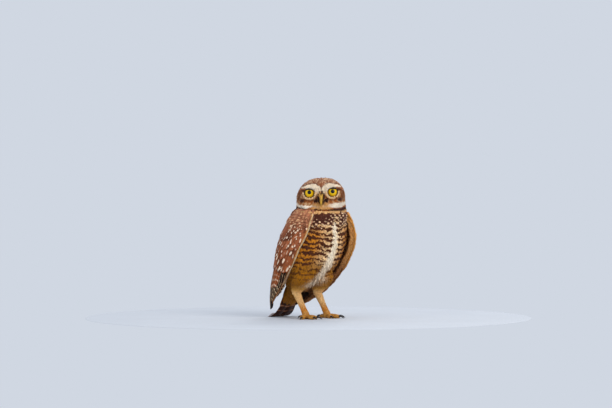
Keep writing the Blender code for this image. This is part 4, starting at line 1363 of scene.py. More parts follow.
def body_colours(points: Array) -> tuple[Array, Array, Array, Array]:
    """Ground, bar colour, bar field and share of dark spotted breast of neck and body.

    The bars are a cosine of the height, one every BAR_PITCH, lower at the middle line than at the
    flanks, wavy and broken by ripples. They fade out by a threshold that grows towards the belly
    and over the pale stripe.

    Args:
        points: Places in millimetres.

    Returns:
        Ground, bar colour, bar field and share of dark breast.
    """
    height, turn = points[..., 2], np.degrees(body_turn(points))
    toward = turn + curve(height, {120: 0.0, 150: 14.0})
    wavy = ripple(points, 34.0)
    fine = ripple(points, 13.0, 2.0)
    outer = smooth(np.abs(toward), 12, 45)
    high = mixed(HUES.flank, HUES.gold, 0.85 * outer * smooth(height, 150, 118) + 0.15)
    ground = mixed(HUES.belly, high, smooth(height + 5 * wavy, 66, 92))
    ground = mixed(ground, HUES.vent, smooth(height, 58, 48))
    stripe = bump(toward - curve(height, STRIPE_TURNS) + 2 * wavy, curve(height, STRIPE_HALVES))
    stripe = stripe * smooth(height, 38, 46) * smooth(height, 143, 136)
    stripe = stripe * (0.85 + 0.35 * ripple(points, 9.0, 3.0))
    pale = (0.62 + 0.3 * smooth(height, 60, 90)) * smooth(stripe, 0.1, 0.85) * smooth(height, 34, 52)
    ground = mixed(ground, HUES.stripe, pale)
    behind = on_back(points)
    ground = mixed(ground, HUES.wing, behind * smooth(height, 60, 80))
    breast = smooth(height + 4.0 * wavy, 130, 138) * smooth(height, 156, 151) * (1 - behind)
    breast = breast * (1 - 0.8 * bump(toward - 9, 7.0) * smooth(height, 150, 143))
    nape = behind * smooth(height, 62, 76)
    threshold = curve(height, BAR_THRESHOLDS) + 1.5 * smooth(stripe, 0.25, 0.9)
    sweep = 0.1 * np.hypot(toward - 5, 14.0)
    phase = (height + 2.6 * wavy + 1.4 * fine - sweep) * 2 * math.pi / BAR_PITCH
    bars = np.cos(phase) - threshold + 0.6 * ripple(points, 14.0, 5.0)
    bars = np.where(behind > 0.5, NO_MARK, bars)
    bar = mixed(mixed(HUES.bar, HUES.belly, 0.45), HUES.bar, smooth(height, 56, 84))
    return ground, bar, bars, np.clip(breast + nape, 0, 1)


def dress_head(laid: Laid) -> Look:
    """Head feathers: the zone's colour, and on the crown a pale drop near the tip of most.

    Args:
        laid: The feathers.

    Returns:
        Their look.
    """
    ground, streaks = face_colours(laid.shown)
    chosen = (laid.chance[:, 1] < 0.5 * streaks)[:, None, None]
    mark = laid.varied(HUES.crown_mark, 0.08, 2)
    return laid.varied(ground, 0.1), mark, np.where(chosen, laid.drop(0.28), NO_MARK)


def dress_body(laid: Laid) -> Look:
    """Neck and body feathers: bars by place, or pale drops on the dark breast and nape.

    Args:
        laid: The feathers.

    Returns:
        Their look.
    """
    ground, bar, _, breast = body_colours(laid.shown)
    jitter = 2.4 * (laid.chance[:, 3] - 0.5)[:, None, None, None] * np.array([0.0, 0.0, 1.0])
    bars = body_colours(laid.points + jitter)[2] + 0.6 * (laid.chance[:, 1] - 0.5)[:, None, None]
    height = to_head(laid.shown)[2]
    face, streaks = face_colours(laid.shown)
    ground = mixed(ground, face, smooth(height, NECK_TOP - 2, NECK_TOP))
    spotted = (breast > laid.chance[:, 2]) & (height < NECK_TOP)
    back = on_back(laid.shown)
    ground = np.where(spotted[:, None], mixed(HUES.breast, HUES.wing, back), ground)
    spot = mixed(mixed(HUES.under_collar, HUES.drop, 0.4), HUES.wing, 0.3 * back)
    mark = np.where(spotted[:, None], spot, bar)
    drawn = np.where(spotted[:, None, None], breast_spots(laid.points + 0.5 * jitter), bars)
    nape = (height > NECK_TOP)[:, None, None]
    chosen = (laid.chance[:, 1] < 0.5 * streaks)[:, None, None]
    drawn = np.where(nape, np.where(chosen, laid.drop(0.2), NO_MARK), drawn)
    mark = np.where(nape[:, 0], HUES.crown_mark, mark)
    return laid.varied(ground, 0.13), mark, drawn


@dataclass(frozen=True)
class Spots:
    """Pale drops on a kind of feather: their places along it, half sizes and how often they come.

    Half sizes are shares of the feather's half width and of its length.
    """

    rows: tuple[float, ...] = ()
    wide: float = 0.0
    tall: float = 0.0
    often: float = 0.0

    def draw(self, laid: Laid) -> Array:
        """The drops' field: 1 in a drop's middle, 0 at its oval edge, the greatest of the rows.

        Args:
            laid: The feathers.

        Returns:
            The field at each point.
        """
        drawn = np.full(laid.points.shape[:3], NO_MARK)
        for number, at in enumerate(self.rows):
            luck = (laid.chance[:, 1] + 0.39 * number) % 1
            shift = (laid.chance[:, 3] - 0.5)[:, None, None] * (1 - 2 * number)
            grown = (0.7 + 0.6 * laid.chance[:, 2])[:, None, None]
            across = (laid.beside - 0.7 * shift) / (self.wide * grown)
            ahead = (laid.share - at - 0.04 * shift) / (self.tall * grown)
            oval = 1 - across**2 - ahead**2
            drawn = np.maximum(drawn, np.where((luck < self.often)[:, None, None], oval, NO_MARK))
        return drawn


PLAIN = Spots()
LESSER_SPOTS = Spots((0.84,), 0.55, 0.17, 0.44)
COVERT_SPOTS = Spots((0.93, 0.82), 0.38, 0.05, 0.84)


def dress_wing(side: Side, spots: Spots) -> Dresser:
    """Dresser of wing coverts: brown with pale drops near the tips, every third one darker, and greyer and
    paler towards the shoulder, partly a painted highlight of the wing's top.

    Args:
        side: The wing; the left one shows plain ochre feathers along its front.
        spots: The drops.

    Returns:
        The dresser.
    """

    def dress(laid: Laid) -> Look:
        """Colours of one batch of coverts.

        Args:
            laid: The feathers.

        Returns:
            Their look.
        """
        height = laid.shown[:, 2]
        ground = mixed(HUES.wing_low, HUES.wing, smooth(height, 60, 110))
        ground = mixed(ground, HUES.tertial, 0.4 * smooth(ripple(laid.shown, 28.0, 4.0), -0.1, 0.6))
        # The shoulder's greyer tone, laid paler at the wing's top as a painted highlight where it faces up;
        # there the dark feathers and the drops are fainter too.
        shoulder = smooth(height, 122, 142)
        ground = mixed(ground, HUES.shoulder, 0.6 * shoulder)
        ground = mixed(ground, HUES.bar, np.where(laid.chance[:, 3] < 0.36, 0.7 - 0.45 * shoulder, 0.0))
        ground = laid.varied(ground, 0.2)
        drawn = spots.draw(laid)
        if side is Side.LEFT:
            inner = smooth(laid.unwrap[:, 0], 0.3, 0.16)
            strip = mixed(HUES.ochre_low, HUES.ochre, smooth(height, 60, 100))
            strip = mixed(strip, HUES.shoulder, 0.3)
            ground = mixed(ground, laid.varied(strip, 0.12), inner)
            drawn = np.where((inner > 0.5)[:, None, None], NO_MARK, drawn)
        faint = mixed(HUES.under_collar, HUES.shoulder, 0.45)
        mark = mixed(mixed(HUES.drop, faint, 0.9 * shoulder), ground, 0.55 * (1 - laid.chance[:, 2]))
        return ground, mark, drawn

    return dress


def dress_edge(side: Side) -> Dresser:
    """Dresser of the small feathers along a wing's front edge: cream, or ochre on the left.

    Args:
        side: The wing.

    Returns:
        The dresser.
    """
    top, low = HUES.ochre, HUES.ochre_low
    if side is Side.RIGHT:
        top, low = HUES.edge, mixed(HUES.wing, HUES.edge, 0.6)

    def dress(laid: Laid) -> Look:
        """Colours of the edge feathers."""
        ground = mixed(low, top, smooth(laid.shown[:, 2], 50, 90))
        return laid.varied(ground, 0.1), ground, NO_MARK

    return dress


def dress_flight(kind: str, side: Side) -> Dresser:
    """Dresser of flight feathers: dark with pale bars, the inner ones rufous at the tips.

    Args:
        kind: The tier: primaries or secondaries.
        side: The wing.

    Returns:
        The dresser.
    """

    def dress(laid: Laid) -> Look:
        """Bars are a cosine of the place along each feather, its front rim and tip treated apart.

        Args:
            laid: The feathers.

        Returns:
            Their look.
        """
        inner = np.linspace(0, 1, len(laid.shown))
        front = -side.value * laid.beside
        if kind == "primaries":
            ground, mark = HUES.primary, HUES.primary_bar
            bars = np.cos((laid.share + laid.chance[:, :1, None] * 0.1) * 2 * math.pi * 7) - 0.35
            bars = np.maximum(bars - 0.42, 6 * (front - 0.92))
            bars = bars - 2.2 * (laid.share > 0.93) - 1.2 * (front < 0.1)
        else:
            ground = mixed(HUES.wing_low, HUES.tertial, inner**0.7)
            bars = np.cos(laid.share * 2 * math.pi * 5.5) - 0.45 - 0.5 * np.abs(front - 0.4)
            rim = np.maximum(np.abs(laid.beside) - 0.9, (laid.share - 0.972) * 6) * 4
            bars = np.maximum(bars, np.where((inner > 0.4)[:, None, None], rim, NO_MARK))
            mark = mixed(HUES.drop, ground, 0.3)
        if side is Side.LEFT:
            near = smooth(laid.unwrap[:, 0], 0.3, 0.15)
            ground = mixed(ground, HUES.ochre_low, 0.75 * near)
            bars = bars - 1.5 * near[:, None, None]
        return laid.varied(ground, 0.12), laid.varied(mark, 0.08, 2), bars

    return dress


def dress_tail(laid: Laid) -> Look:
    """Tail feathers: dark with pale bars, a cosine of the place along them, and a paler tip.

    Args:
        laid: The feathers.

    Returns:
        Their look.
    """
    bars = np.cos((laid.share - 0.02) * 2 * math.pi * 6) - 0.5 + 0.4 * (np.abs(laid.beside) - 0.5)
    bars = np.maximum(bars, (laid.share - 0.94) * 12)
    return laid.varied(HUES.tail, 0.12), HUES.tail_tip, bars


def dress_leg(laid: Laid) -> Look:
    """Leg feathers: ochre on the thigh, pale buff below the heel and orange at the foot.

    Args:
        laid: The feathers.

    Returns:
        Their look.
    """
    height = laid.shown[:, 2]
    ground = mixed(HUES.shank, HUES.thigh, smooth(height, 36, 44))
    ground = mixed(ground, HUES.shank_low, smooth(height, 26, 10))
    belly, bar, _, _ = body_colours(laid.shown)
    ground = mixed(ground, belly, smooth(height, 39, 49))
    bars = body_colours(laid.points)[2] - 1.5 * smooth(height, 56, 48)[:, None, None]
    return laid.varied(ground, 0.1), bar, bars


# The kinds of feathers by size

DOWN = Cut(4, 3, droop=0.35, thickness=0.16)
SMALL = Cut(5, 3, droop=0.35, thickness=0.2)
CONTOUR = Cut(7, 5, round_from=0.4, droop=0.35, thickness=0.22, fray=0.25)
COVERT = Cut(9, 7, round_from=0.55, blunt=0.3, droop=0.2, thickness=0.28, fray=0.12, tilt=-0.1)
FLIGHT = Cut(16, 9, 0.72, blunt=0.2, root_width=0.6, droop=0.12, thickness=0.4, fray=0.05, tilt=-0.14)
TAIL_FEATHER = Cut(16, 9, 0.8, blunt=0.3, root_width=0.7, droop=0.03, thickness=0.35, fray=0.04)

# Tiers of a wing: name, count, root station, tip stations in front and at the rear, places across
# of the first and the last, half width, height of the tips, and how much the first ones are lower
WING_TIERS = (
    ("primaries", 10, 5.0, 7.2, 9.95, 0.03, 0.60, 4.3, 0.7, 0.25),
    ("secondaries", 12, 4.2, 6.5, 8.5, 0.26, 0.98, 5.2, 1.0, 0.16),
    ("greater", 13, 2.7, 4.9, 5.9, 0.04, 0.93, 4.8, 0.9, 0.0),
    ("secondary coverts", 13, 2.3, 4.3, 5.1, 0.05, 0.92, 4.5, 1.1, 0.0),
    ("middle row", 13, 1.8, 3.7, 4.4, 0.04, 0.9, 4.2, 1.25, 0.0),
    ("median", 13, 1.3, 3.1, 3.8, 0.05, 0.92, 4.0, 1.4, 0.0),
    ("row above", 13, 0.9, 2.6, 3.2, 0.04, 0.9, 3.7, 1.5, 0.0),
    ("scapulars", 7, 0.5, 2.6, 3.5, 0.5, 0.95, 5.2, 1.9, 0.0),
)


@dataclass
class Plumage:
    """The feathers of the bird, tract by tract, over the smooth forms."""

    body: Surface
    wings: dict[Side, Surface]
    linings: dict[Side, Surface]
    rims: dict[Side, tuple[Surface, Surface]]
    random: np.random.Generator = field(default_factory=lambda: np.random.default_rng(SEED))

    def head(self) -> Coat:
        """Face feathers in fine rows, and larger ones on crown, cheeks and nape.

        The places of the eyes and of the bill are left free. Round the eyes the feathers are
        shorter, and each tip stands out by a random amount, an exponential draw.

        Returns:
            The coat.
        """
        coat = Coat("head_feathers", "plumage", self.random)
        face = math.radians(86)
        for fine in (True, False):
            if fine:
                grid = Lattice(self.body, 1.1, 7.0, -face, face, 1.15, 0.95)
                length, shorter, wide, rise, cut, loose = 4.8, 1.8, 0.85, Rise(1.0, 0.25), DOWN, 0.12
            else:
                grid = Lattice(self.body, 0.06, 7.0, -math.pi, math.pi, 1.65, 1.4)
                length, shorter, wide, rise, cut, loose = 6.8, 0.0, 1.3, Rise(1.5, 0.3), SMALL, 0.32
            station, turn = grid.roots(self.random)
            station = np.maximum(station, 0.04)
            point, normal = self.body.read(station, turn)[:2]
            left, forward, height = to_head(point)
            reach = eye_reach(left, height)
            in_face = (np.abs(turn) < face) & (height < 196)
            chosen = in_face if fine else ~in_face
            chosen &= ~((reach < 6.7) & (forward > 8))
            chosen &= ~((np.abs(left) < 2.4) & (height < 180) & (height > 166) & (forward > 14))
            station, turn, point, normal = (values[chosen] for values in (station, turn, point, normal))
            size = self.random.uniform(0.85, 1.15, len(point))
            lengths = (length - shorter * smooth(reach[chosen], 14, 7) * (forward[chosen] > 8)) * size
            unwrap = np.stack([turn / (2 * math.pi) + 0.5, station / 17], axis=-1) * 0.96 + 0.02
            lift = np.minimum(self.random.exponential(loose, len(point)), 1.3)
            heights = rise.at(cut.places()) + lift[:, None] * cut.places() ** 2
            shafts = arched(point, normal, self.head_lie(point), lengths, cut, heights, unwrap)
            coat.add(cut, shafts, wide * size, dress_head)
        return coat

    def bristles(self) -> Coat:
        """Fine stiff feathers that sprout beside and above the bill and sweep forward over it.

        Each runs straight from its root and sinks by a share of the square of its length.

        Returns:
            The coat.
        """
        coat = Coat("bristles", "plumage", self.random)
        count = 620
        side = self.random.choice([-1.0, 1.0], count)
        above = self.random.random(count) < 0.4
        b = np.where(above, self.random.uniform(0, 3.6, count), self.random.uniform(3.0, 6.0, count))
        height = np.where(above, self.random.uniform(179.5, 184, count), self.random.uniform(168, 180, count))
        station = np.interp(-height, -BODY[:, 1], np.arange(len(BODY)))
        left = side * b
        for _ in range(4):
            guess = self.body.read(station, left / 34)[0]
            station = station + (to_head(guess)[2] - height) * 0.11
        turn = left / 34
        for _ in range(6):
            now = to_head(self.body.read(station, turn)[0])
            turn = turn + (left - now[0]) / 36
            station = station + (now[2] - height) * 0.11
        root, normal, _, _ = self.body.read(station, turn)
        inward = -np.sign(left) * smooth(b, 0.5, 4) * 0.5
        ahead = turn_from_head(inward, 0.9 + 0 * b, np.where(above, -0.55, -0.35) + 0 * b)
        ahead = unit(ahead + self.random.normal(0, 0.12, (count, 3)))
        lengths = self.random.uniform(6.0, 9.0, count) + 1.6 * above
        cut = DOWN
        run = (lengths[:, None] * cut.places())[..., None]
        sag = np.where(above, 0.045, 0.02)[:, None, None]
        path = root[:, None] - normal[:, None] * 0.8 + ahead[:, None] * run
        path = path - np.array([0, 0, 1.0]) * sag * run**2
        heading = unit(np.gradient(path, axis=1))
        out = unit(np.cross(heading, np.broadcast_to(unit(turn_from_head(1.0, 0.0, 0.0)), heading.shape)))
        unwrap = np.stack([turn / (2 * math.pi) + 0.5, station / 17], axis=-1)
        shafts = Shafts(path, heading, out, unwrap, root, lengths)
        coat.add(cut, shafts, self.random.uniform(0.25, 0.5, count), dress_bristle)
        return coat

    def head_lie(self, points: Array) -> Array:
        """The way the feathers of the head point.

        Over the forehead and crown they run back, on nape and sides down, below the eyes down and
        outward, on the bridge up, and close round each eye straight away from it.

        Args:
            points: Places in millimetres.

        Returns:
            Directions, x, y, z last.
        """
        left, forward, height = to_head(points)
        b, sign = np.abs(left), np.sign(left)
        back = turn_from_head(0 * left, -1 + 0 * left, 0.35 + 0 * left)
        down = turn_from_head(0.1 * sign, -0.35 * smooth(forward, 10, -5), -1 + 0 * left)
        top = smooth(height, 184, 191) * smooth(forward, -24, -8)
        lie = mixed(down, back, top)
        front = smooth(forward, 8, 14)
        low = turn_from_head(0.55 * sign * smooth(b, 1, 9), 0 * left, -1 + 0 * left)
        lie = mixed(lie, low, front * smooth(height, 182, 176))
        up = turn_from_head(0.35 * sign, 0 * left, 1 + 0 * left)
        lie = mixed(lie, up, front * smooth(b, 7, 4) * smooth(height, 174, 178) * smooth(height, 194, 188))
        from_eye = turn_from_head(sign * (b - EYE[0]), 0 * left, height - EYE[2] - EYE_OPENING_ABOVE)
        reach = eye_reach(left, height)
        return unit(mixed(lie, unit(from_eye), front * smooth(reach, 15, 10)))

    def neck_and_body(self) -> Coat:
        """Neck, breast, flanks, back, belly and vent, where the wings leave them in sight.

        Returns:
            The coat.
        """
        coat = Coat("body_feathers", "breast", self.random)
        tracts = (
            (Lattice(self.body, 6.5, 8.9, -math.pi, math.pi, 2.0, 1.8), 8.5, 1.75, Rise(1.7, 0.35)),
            (Lattice(self.body, 8.5, 16.7, -math.pi, math.pi, 2.4, 2.25), 13.0, 2.4, Rise(2.4, 0.5)),
        )
        for grid, length, wide, rise in tracts:
            station, turn = grid.roots(self.random)
            point = self.body.read(station, turn)[0]
            chosen = self.in_sight(point)
            station, turn, point = station[chosen], turn[chosen], point[chosen]
            size = self.random.uniform(0.85, 1.2, len(station))
            loose = smooth(point[:, 2], 90, 60)
            swing = self.random.normal(0, 0.1, len(station)) * (1 + loose)
            ends = smooth(station, 16.9, 15.2)
            lengths = length * size * (1 + 0.25 * loose) * (0.6 + 0.4 * ends)
            lift = np.minimum(self.random.exponential(0.4, len(station)), 1.8) * (1 + loose)
            shafts = follow(self.body, station, turn, lengths, CONTOUR, rise, swing, lift)
            coat.add(CONTOUR, shafts, wide * size, dress_body)
        return coat

    def in_sight(self, points: Array) -> Array:
        """Whether a place on the body isn't under a wing: ahead of its front edge or behind it.

        Args:
            points: Places in millimetres.

        Returns:
            True where feathers are needed.
        """
        height = points[:, 2]
        turn = np.degrees(body_turn(points))
        front = np.interp(-height, -WING[:, 1], WING[:, 6]) + np.where(turn > 0, 62.0, 16.0)
        rear = np.interp(-height, -WING[:, 1], WING[:, 7]) - 10
        return (np.abs(turn) < front) | (np.abs(turn) > rear) | (height > 152)

    def wing(self, side: Side) -> Coat:
        """One wing: lesser coverts in rows, then the tiers of larger ones, and the front edge.

        A tier's feathers stand at even places across, each straight from the tier's root station
        to a tip station that changes evenly from the front to the rear.

        Args:
            side: The wing.

        Returns:
            The coat.
        """
        form = self.wings[side]
        coat = Coat(f"wing_feathers_{side.word}", "plumage", self.random)
        station, across = Lattice(form, -0.2, 2.3, 0.0, 0.95, 3.0, 3.3).roots(self.random)
        size = self.random.uniform(0.85, 1.15, len(station))
        edge = 0.35 + 0.65 * smooth(station, -0.2, 0.8)
        shafts = follow(form, station, across, 10.5 * size, CONTOUR, Rise(1.6, 0.9))
        shafts.points = shafts.points + shafts.normals * (edge[:, None, None] - 1) * 0.8
        coat.add(CONTOUR, shafts, 2.9 * size, dress_wing(side, LESSER_SPOTS))
        for kind, count, root, tip_front, tip_rear, low, high, wide, out, sink in WING_TIERS:
            share = np.linspace(0, 1, count)
            flight = kind in ("primaries", "secondaries")
            cut = FLIGHT if flight else COVERT
            cut = replace(cut, tilt=-side.value * cut.tilt)
            wander = 0.0 if flight else 0.1
            seconds = low + (high - low) * share + self.random.normal(0, 0.12 * wander, count)
            tips = tip_front + (tip_rear - tip_front) * share + self.random.normal(0, 0.03 + wander, count)
            stations = root + (tips - root)[:, None] * cut.places()
            shafts = self.ruled(form, stations, seconds, cut, out - sink * (count - 1 - share * (count - 1)))
            size = self.random.uniform(0.94, 1.06, count)
            dress = dress_flight(kind, side) if flight else dress_wing(side, COVERT_SPOTS)
            coat.add(cut, shafts, wide * size, dress)
        station = np.arange(0.15, 5.6, 0.045)
        across = self.random.normal(0.0, 0.003, len(station))
        shafts = follow(form, station, across, np.full(len(station), 7.0), SMALL, Rise(0.6, 0.9))
        coat.add(SMALL, shafts, 1.25, dress_edge(side))
        self.lining(coat, side)
        return coat

    def lining(self, coat: Coat, side: Side) -> None:
        """Small feathers on the inner face and rims of a wing, where it stands off the flank.

        Args:
            coat: The wing's coat.
            side: The wing.
        """
        inner, (front, rear) = self.linings[side], self.rims[side]
        for grid, length, out, wide, dress in (
            (Lattice(inner, 0.3, 7.0, 0.0, 0.55, 3.4, 2.8), 9.0, 0.6, 2.2, dress_lining),
            (Lattice(front, 0.05, 7.6, -0.1, 1.05, 2.6, 2.0), 8.0, 0.7, 1.7, dress_lining),
            (Lattice(rear, 0.05, 7.6, -0.1, 1.05, 2.6, 2.0), 8.0, 0.7, 1.7, dress_wing(Side.RIGHT, PLAIN)),
        ):
            station, across = grid.roots(self.random)
            size = self.random.uniform(0.85, 1.15, len(station))
            shafts = follow(grid.surface, station, across, length * size, SMALL, Rise(0.8, out))
            coat.add(SMALL, shafts, wide * size, dress)

    def ruled(self, form: Surface, stations: Array, across: Array, cut: Cut, out: Array) -> Shafts:
        """Shafts along given stations, each at its own place across, climbing to a height.

        The height grows from 2 mm under the form with the share of the length to the power 0.7.

        Args:
            form: The wing's outer face.
            stations: Stations of each feather's rows.
            across: Place across of each feather.
            cut: Gives the rows.
            out: Height of the tips.

        Returns:
            The shafts.
        """
        point, normal, down, _ = form.read(stations, np.broadcast_to(across[:, None], stations.shape))
        height = -2.0 + (np.broadcast_to(out, len(across))[:, None] + 2.0) * cut.places() ** 0.7
        lengths = np.linalg.norm(np.diff(point, axis=1), axis=-1).sum(axis=1)
        unwrap, shown = form.unwrapped(stations[:, 0], across), point[:, int(cut.rows * 0.7)]
        return Shafts(point + normal * height[..., None], unit(down), normal, unwrap, shown, lengths)

    def legs(self, legs: dict[Side, LegForm]) -> Coat:
        """Thighs and shanks, the feathers smaller towards the foot.

        Args:
            legs: Forms of both legs.

        Returns:
            The coat.
        """
        coat = Coat("leg_feather_coat", "leg_feathers", self.random)
        for leg in legs.values():
            thigh = leg.surface(leg.thigh_path(40), THIGH_RADII)
            station, turn = Lattice(thigh, 0.12, 0.97, 0, 2 * math.pi, 2.4, 2.1).roots(self.random)
            size = self.random.uniform(0.85, 1.2, len(station))
            lengths = 9.5 * size * (1 - 0.35 * station)
            swing = self.random.normal(0, 0.12, len(size))
            shafts = follow(thigh, station, turn, lengths, CONTOUR, Rise(1.6, 0.4), swing)
            coat.add(CONTOUR, shafts, 2.1 * size, dress_leg)
            shank = leg.surface(leg.shank_path(20), SHANK_RADII)
            station, turn = Lattice(shank, 0.0, 0.96, 0, 2 * math.pi, 1.5, 1.25).roots(self.random)
            size = self.random.uniform(0.8, 1.2, len(station))
            lengths = np.minimum(5.2 * size, (1 - station) * 31 + 2.6)
            swing = self.random.normal(0, 0.14, len(size))
            shafts = follow(shank, station, turn, lengths, SMALL, Rise(0.9, 0.3), swing)
            coat.add(SMALL, shafts, 0.95 * size, dress_leg)
        return coat

    @staticmethod
    def lone(centres: Array, normals: Array, unwrap: tuple[float, float], shown: int) -> Shafts:
        """The shaft of one feather that is laid by itself.

        Args:
            centres: Its points.
            normals: Its normals.
            unwrap: Middle of its patch.
            shown: Row whose place gives its colour.

        Returns:
            The shaft.
        """
        heading = unit(np.gradient(centres, axis=0))
        lengths = np.array([np.linalg.norm(np.diff(centres, axis=0), axis=1).sum()])
        paths, headings, normals = centres[None], heading[None], normals[None]
        return Shafts(paths, headings, normals, np.array([unwrap]), paths[:, shown], lengths)

    def tail(self, form: TailForm) -> Coat:
        """Tail feathers in pairs that fan out under the middle one, and coverts over and under.

        Args:
            form: The tail's form.

        Returns:
            The coat.
        """
        coat = Coat("tail_feathers", "plumage", self.random)
        share = FLIGHT.places()
        spread = 0.35 + 0.65 * share
        for layer, side in ((0, 0), *((layer, side) for layer in range(1, 6) for side in (-1, 1))):
            outer = 6.0 + 2.7 * layer
            wide = (outer - 0.4) / 2 * spread if layer else 6.5 * spread**0
            left, last = side * (0.4 + outer) / 2 * spread, 1 - 0.012 * layer
            centres, normals = form.line(0.3, last, np.full(FLIGHT.rows, 0.2 + layer * 0.8), left)
            places, table = 0.3 + (last - 0.3) * share, np.linspace(0.3, last, FLIGHT.rows)
            centres = np.stack([np.interp(places, table, one) for one in centres.T], axis=-1)
            normals = np.stack([np.interp(places, table, one) for one in normals.T], axis=-1)
            centres[:, 2] = np.maximum(centres[:, 2], 0.75)
            shafts = self.lone(centres, unit(normals), (0.5 + left[-1] / 60, 0.1), 12)
            coat.add(TAIL_FEATHER, shafts, wide[-1:], dress_tail)
        for row, (count, root, tip, out) in enumerate(((7, 0.05, 0.45, 1.6), (9, 0.2, 0.62, 1.2))):
            for aside in np.linspace(-1, 1, count):
                depth = np.linspace(2.0, -out - 0.4 * (1 - abs(aside)), COVERT.rows)
                left = np.full(COVERT.rows, 8.5 * aside)
                centres, normals = form.line(root, tip - 0.07 * abs(aside), depth, left)
                shafts = self.lone(centres, normals, (0.5 + 0.2 * aside, 0.5 + 0.2 * row), 6)
                coat.add(COVERT, shafts, 4.0, dress_body_plain)
        for row, (count, tip, wide) in enumerate(((7, 0.5, 5.0), (8, 0.38, 4.6), (8, 0.27, 4.2))):
            for aside in np.linspace(-1, 1, count):
                under = np.interp(np.linspace(0, tip, COVERT.rows), np.linspace(0, 1, 7), form.depths)
                depth = under * 0.8 + np.linspace(-1.0, 2.5 + 1.2 * row, COVERT.rows)
                left = np.linspace(9.0, 12.5, COVERT.rows) * aside
                last = tip - 0.05 * abs(aside) + 0.02 * self.random.normal()
                centres, normals = form.line(0.0, last, depth, left)
                shafts = self.lone(centres, -normals, (0.5 + 0.2 * aside, 0.8 + 0.05 * row), 6)
                coat.add(COVERT, shafts, wide, dress_vent)
        return coat


def dress_vent(laid: Laid) -> Look:
    """Loose olive-buff feathers under the tail."""
    return laid.varied(HUES.vent, 0.14), HUES.vent, NO_MARK


def dress_bristle(laid: Laid) -> Look:
    """Bristles round the bill: dark red-brown, some of them buff."""
    ground = np.where((laid.chance[:, 1] < 0.16)[:, None], HUES.chin, HUES.lore)
    return laid.varied(ground, 0.2), ground, NO_MARK


def dress_lining(laid: Laid) -> Look:
    """Plain ochre feathers of the wing's inner face, greyer at the shoulder, and lifted towards the pale
    flank colour as painted light in the shaded gap by the flank.

    Args:
        laid: The feathers.

    Returns:
        Their look.
    """
    height = laid.shown[:, 2]
    # The ochre is the lining's own colour; the quarter of pale flank mixed into its upper part is painted
    # light against the shade of the gap.
    ground = mixed(HUES.ochre_low, mixed(HUES.ochre, HUES.flank, 0.25), smooth(height, 60, 100))
    ground = mixed(ground, HUES.shoulder, smooth(height, 146, 154))
    return laid.varied(ground, 0.14), ground, NO_MARK


def dress_body_plain(laid: Laid) -> Look:
    """Feathers over the tail's root, in the colour of the rump, each with a small oval drop."""
    drop = 1 - (laid.beside / 0.35) ** 2 - ((laid.share - 0.9) / 0.06) ** 2
    return laid.varied(mixed(HUES.wing_low, HUES.vent, 0.45), 0.1), HUES.under_collar, drop


@dataclass
class Skin:
    """One closed surface of body, wings, legs and tail root, a little inside the plumage."""

    voxel: float = 0.0013
    body_inset: float = 2.0
    face_inset: float = 1.1
    # Share of its own colour that the skin keeps: painted shade for the depth of the coat over it.
    shade: float = 0.82

    def body_rings(self, form: BodyForm) -> Array:
        """The body's ovals, each point moved in along its own ring's normal.

        Args:
            form: The body's form.

        Returns:
            Rings, from the crown down.
        """
        stations = np.linspace(0.05, 16.9, 120)
        turns = np.linspace(-math.pi, math.pi, 128, endpoint=False)
        rings = form.points(stations[:, None], turns[None, :])
        down = np.gradient(rings, axis=0)
        across = np.roll(rings, -1, axis=1) - np.roll(rings, 1, axis=1)
        normals = unit(np.cross(across, down))
        middle = rings.mean(axis=1, keepdims=True)
        normals *= np.sign((normals * (rings - middle)).sum(axis=-1).mean())
        left, forward, height = to_head(rings)
        reach = np.hypot(np.abs(left) - EYE[0], height - EYE[2])
        inset = self.body_inset + (self.face_inset - self.body_inset) * smooth(stations, 8.4, 6.4)[:, None]
        inset = inset + 4.0 * smooth(reach, 9, 6) * (forward > 8)
        return rings - normals * inset[..., None]

    def build(self, body: BodyForm, wings: list[Array], legs: list[LegForm], tail: TailForm) -> Mesh:
        """Joins the cores by a fine voxel remesh and evens the outcome.

        Args:
            body: The body's form.
            wings: Rings of both wings' cores.
            legs: Forms of both legs.
            tail: The tail's form.

        Returns:
            The skin.
        """
        forms = [self.body_rings(body), tail.core_rings()]
        for wing, leg in zip(wings, legs):
            thigh = leg.tube(leg.thigh_path(24), THIGH_RADII, 1.4)
            forms += [wing, thigh, leg.tube(leg.shank_path(16), SHANK_RADII, 0.9)]
        return welded("skin_cores", forms, self.voxel, 4)

    def dress(self, mesh: Mesh) -> None:
        """Gives the skin the same colours and marks as the coat over it, its ground darkened as painted shade
        of the coat's depth.

        Args:
            mesh: The skin.
        """
        points = np.empty(len(mesh.vertices) * 3, np.float32)
        mesh.vertices.foreach_get("co", points)
        points = points.reshape(-1, 3).astype(float) / MM + FOOTPRINT_CENTRE
        height = points[:, 2]
        ground, mark, drawn, breast = body_colours(points)
        ground = mixed(ground, HUES.breast, breast)
        drawn = np.where(breast > 0.5, NO_MARK, drawn)
        turn = np.degrees(body_turn(points))
        wing = smooth(np.abs(turn), 60, 66) * smooth(height, 156, 150) * smooth(np.abs(points[:, 0]), 26, 31)
        ground = mixed(ground, HUES.wing_low, wing)
        drawn = np.where(wing > 0.5, NO_MARK, drawn)
        leg = smooth(height, 52, 44) * smooth(points[:, 1], 34, 28)
        ground = mixed(ground, mixed(HUES.shank_low, HUES.shank, smooth(height, 9, 24)), leg)
        tail = smooth(points[:, 1], 44, 50) * smooth(height, 52, 44)
        ground = mixed(ground, HUES.tail, tail * (1 - leg))
        drawn = np.where((leg > 0.5) | (tail > 0.5), NO_MARK, drawn)
        face, _ = face_colours(points)
        above = smooth(height, 150, 152)
        ground = mixed(ground, face, above)
        drawn = np.where(above > 0.5, NO_MARK, drawn)
        # The ground is darkened by the painted shade that falls deep under the feathers.
        paint(mesh, ground * self.shade, mark, drawn, np.zeros((len(points), 3)))


# Finishes


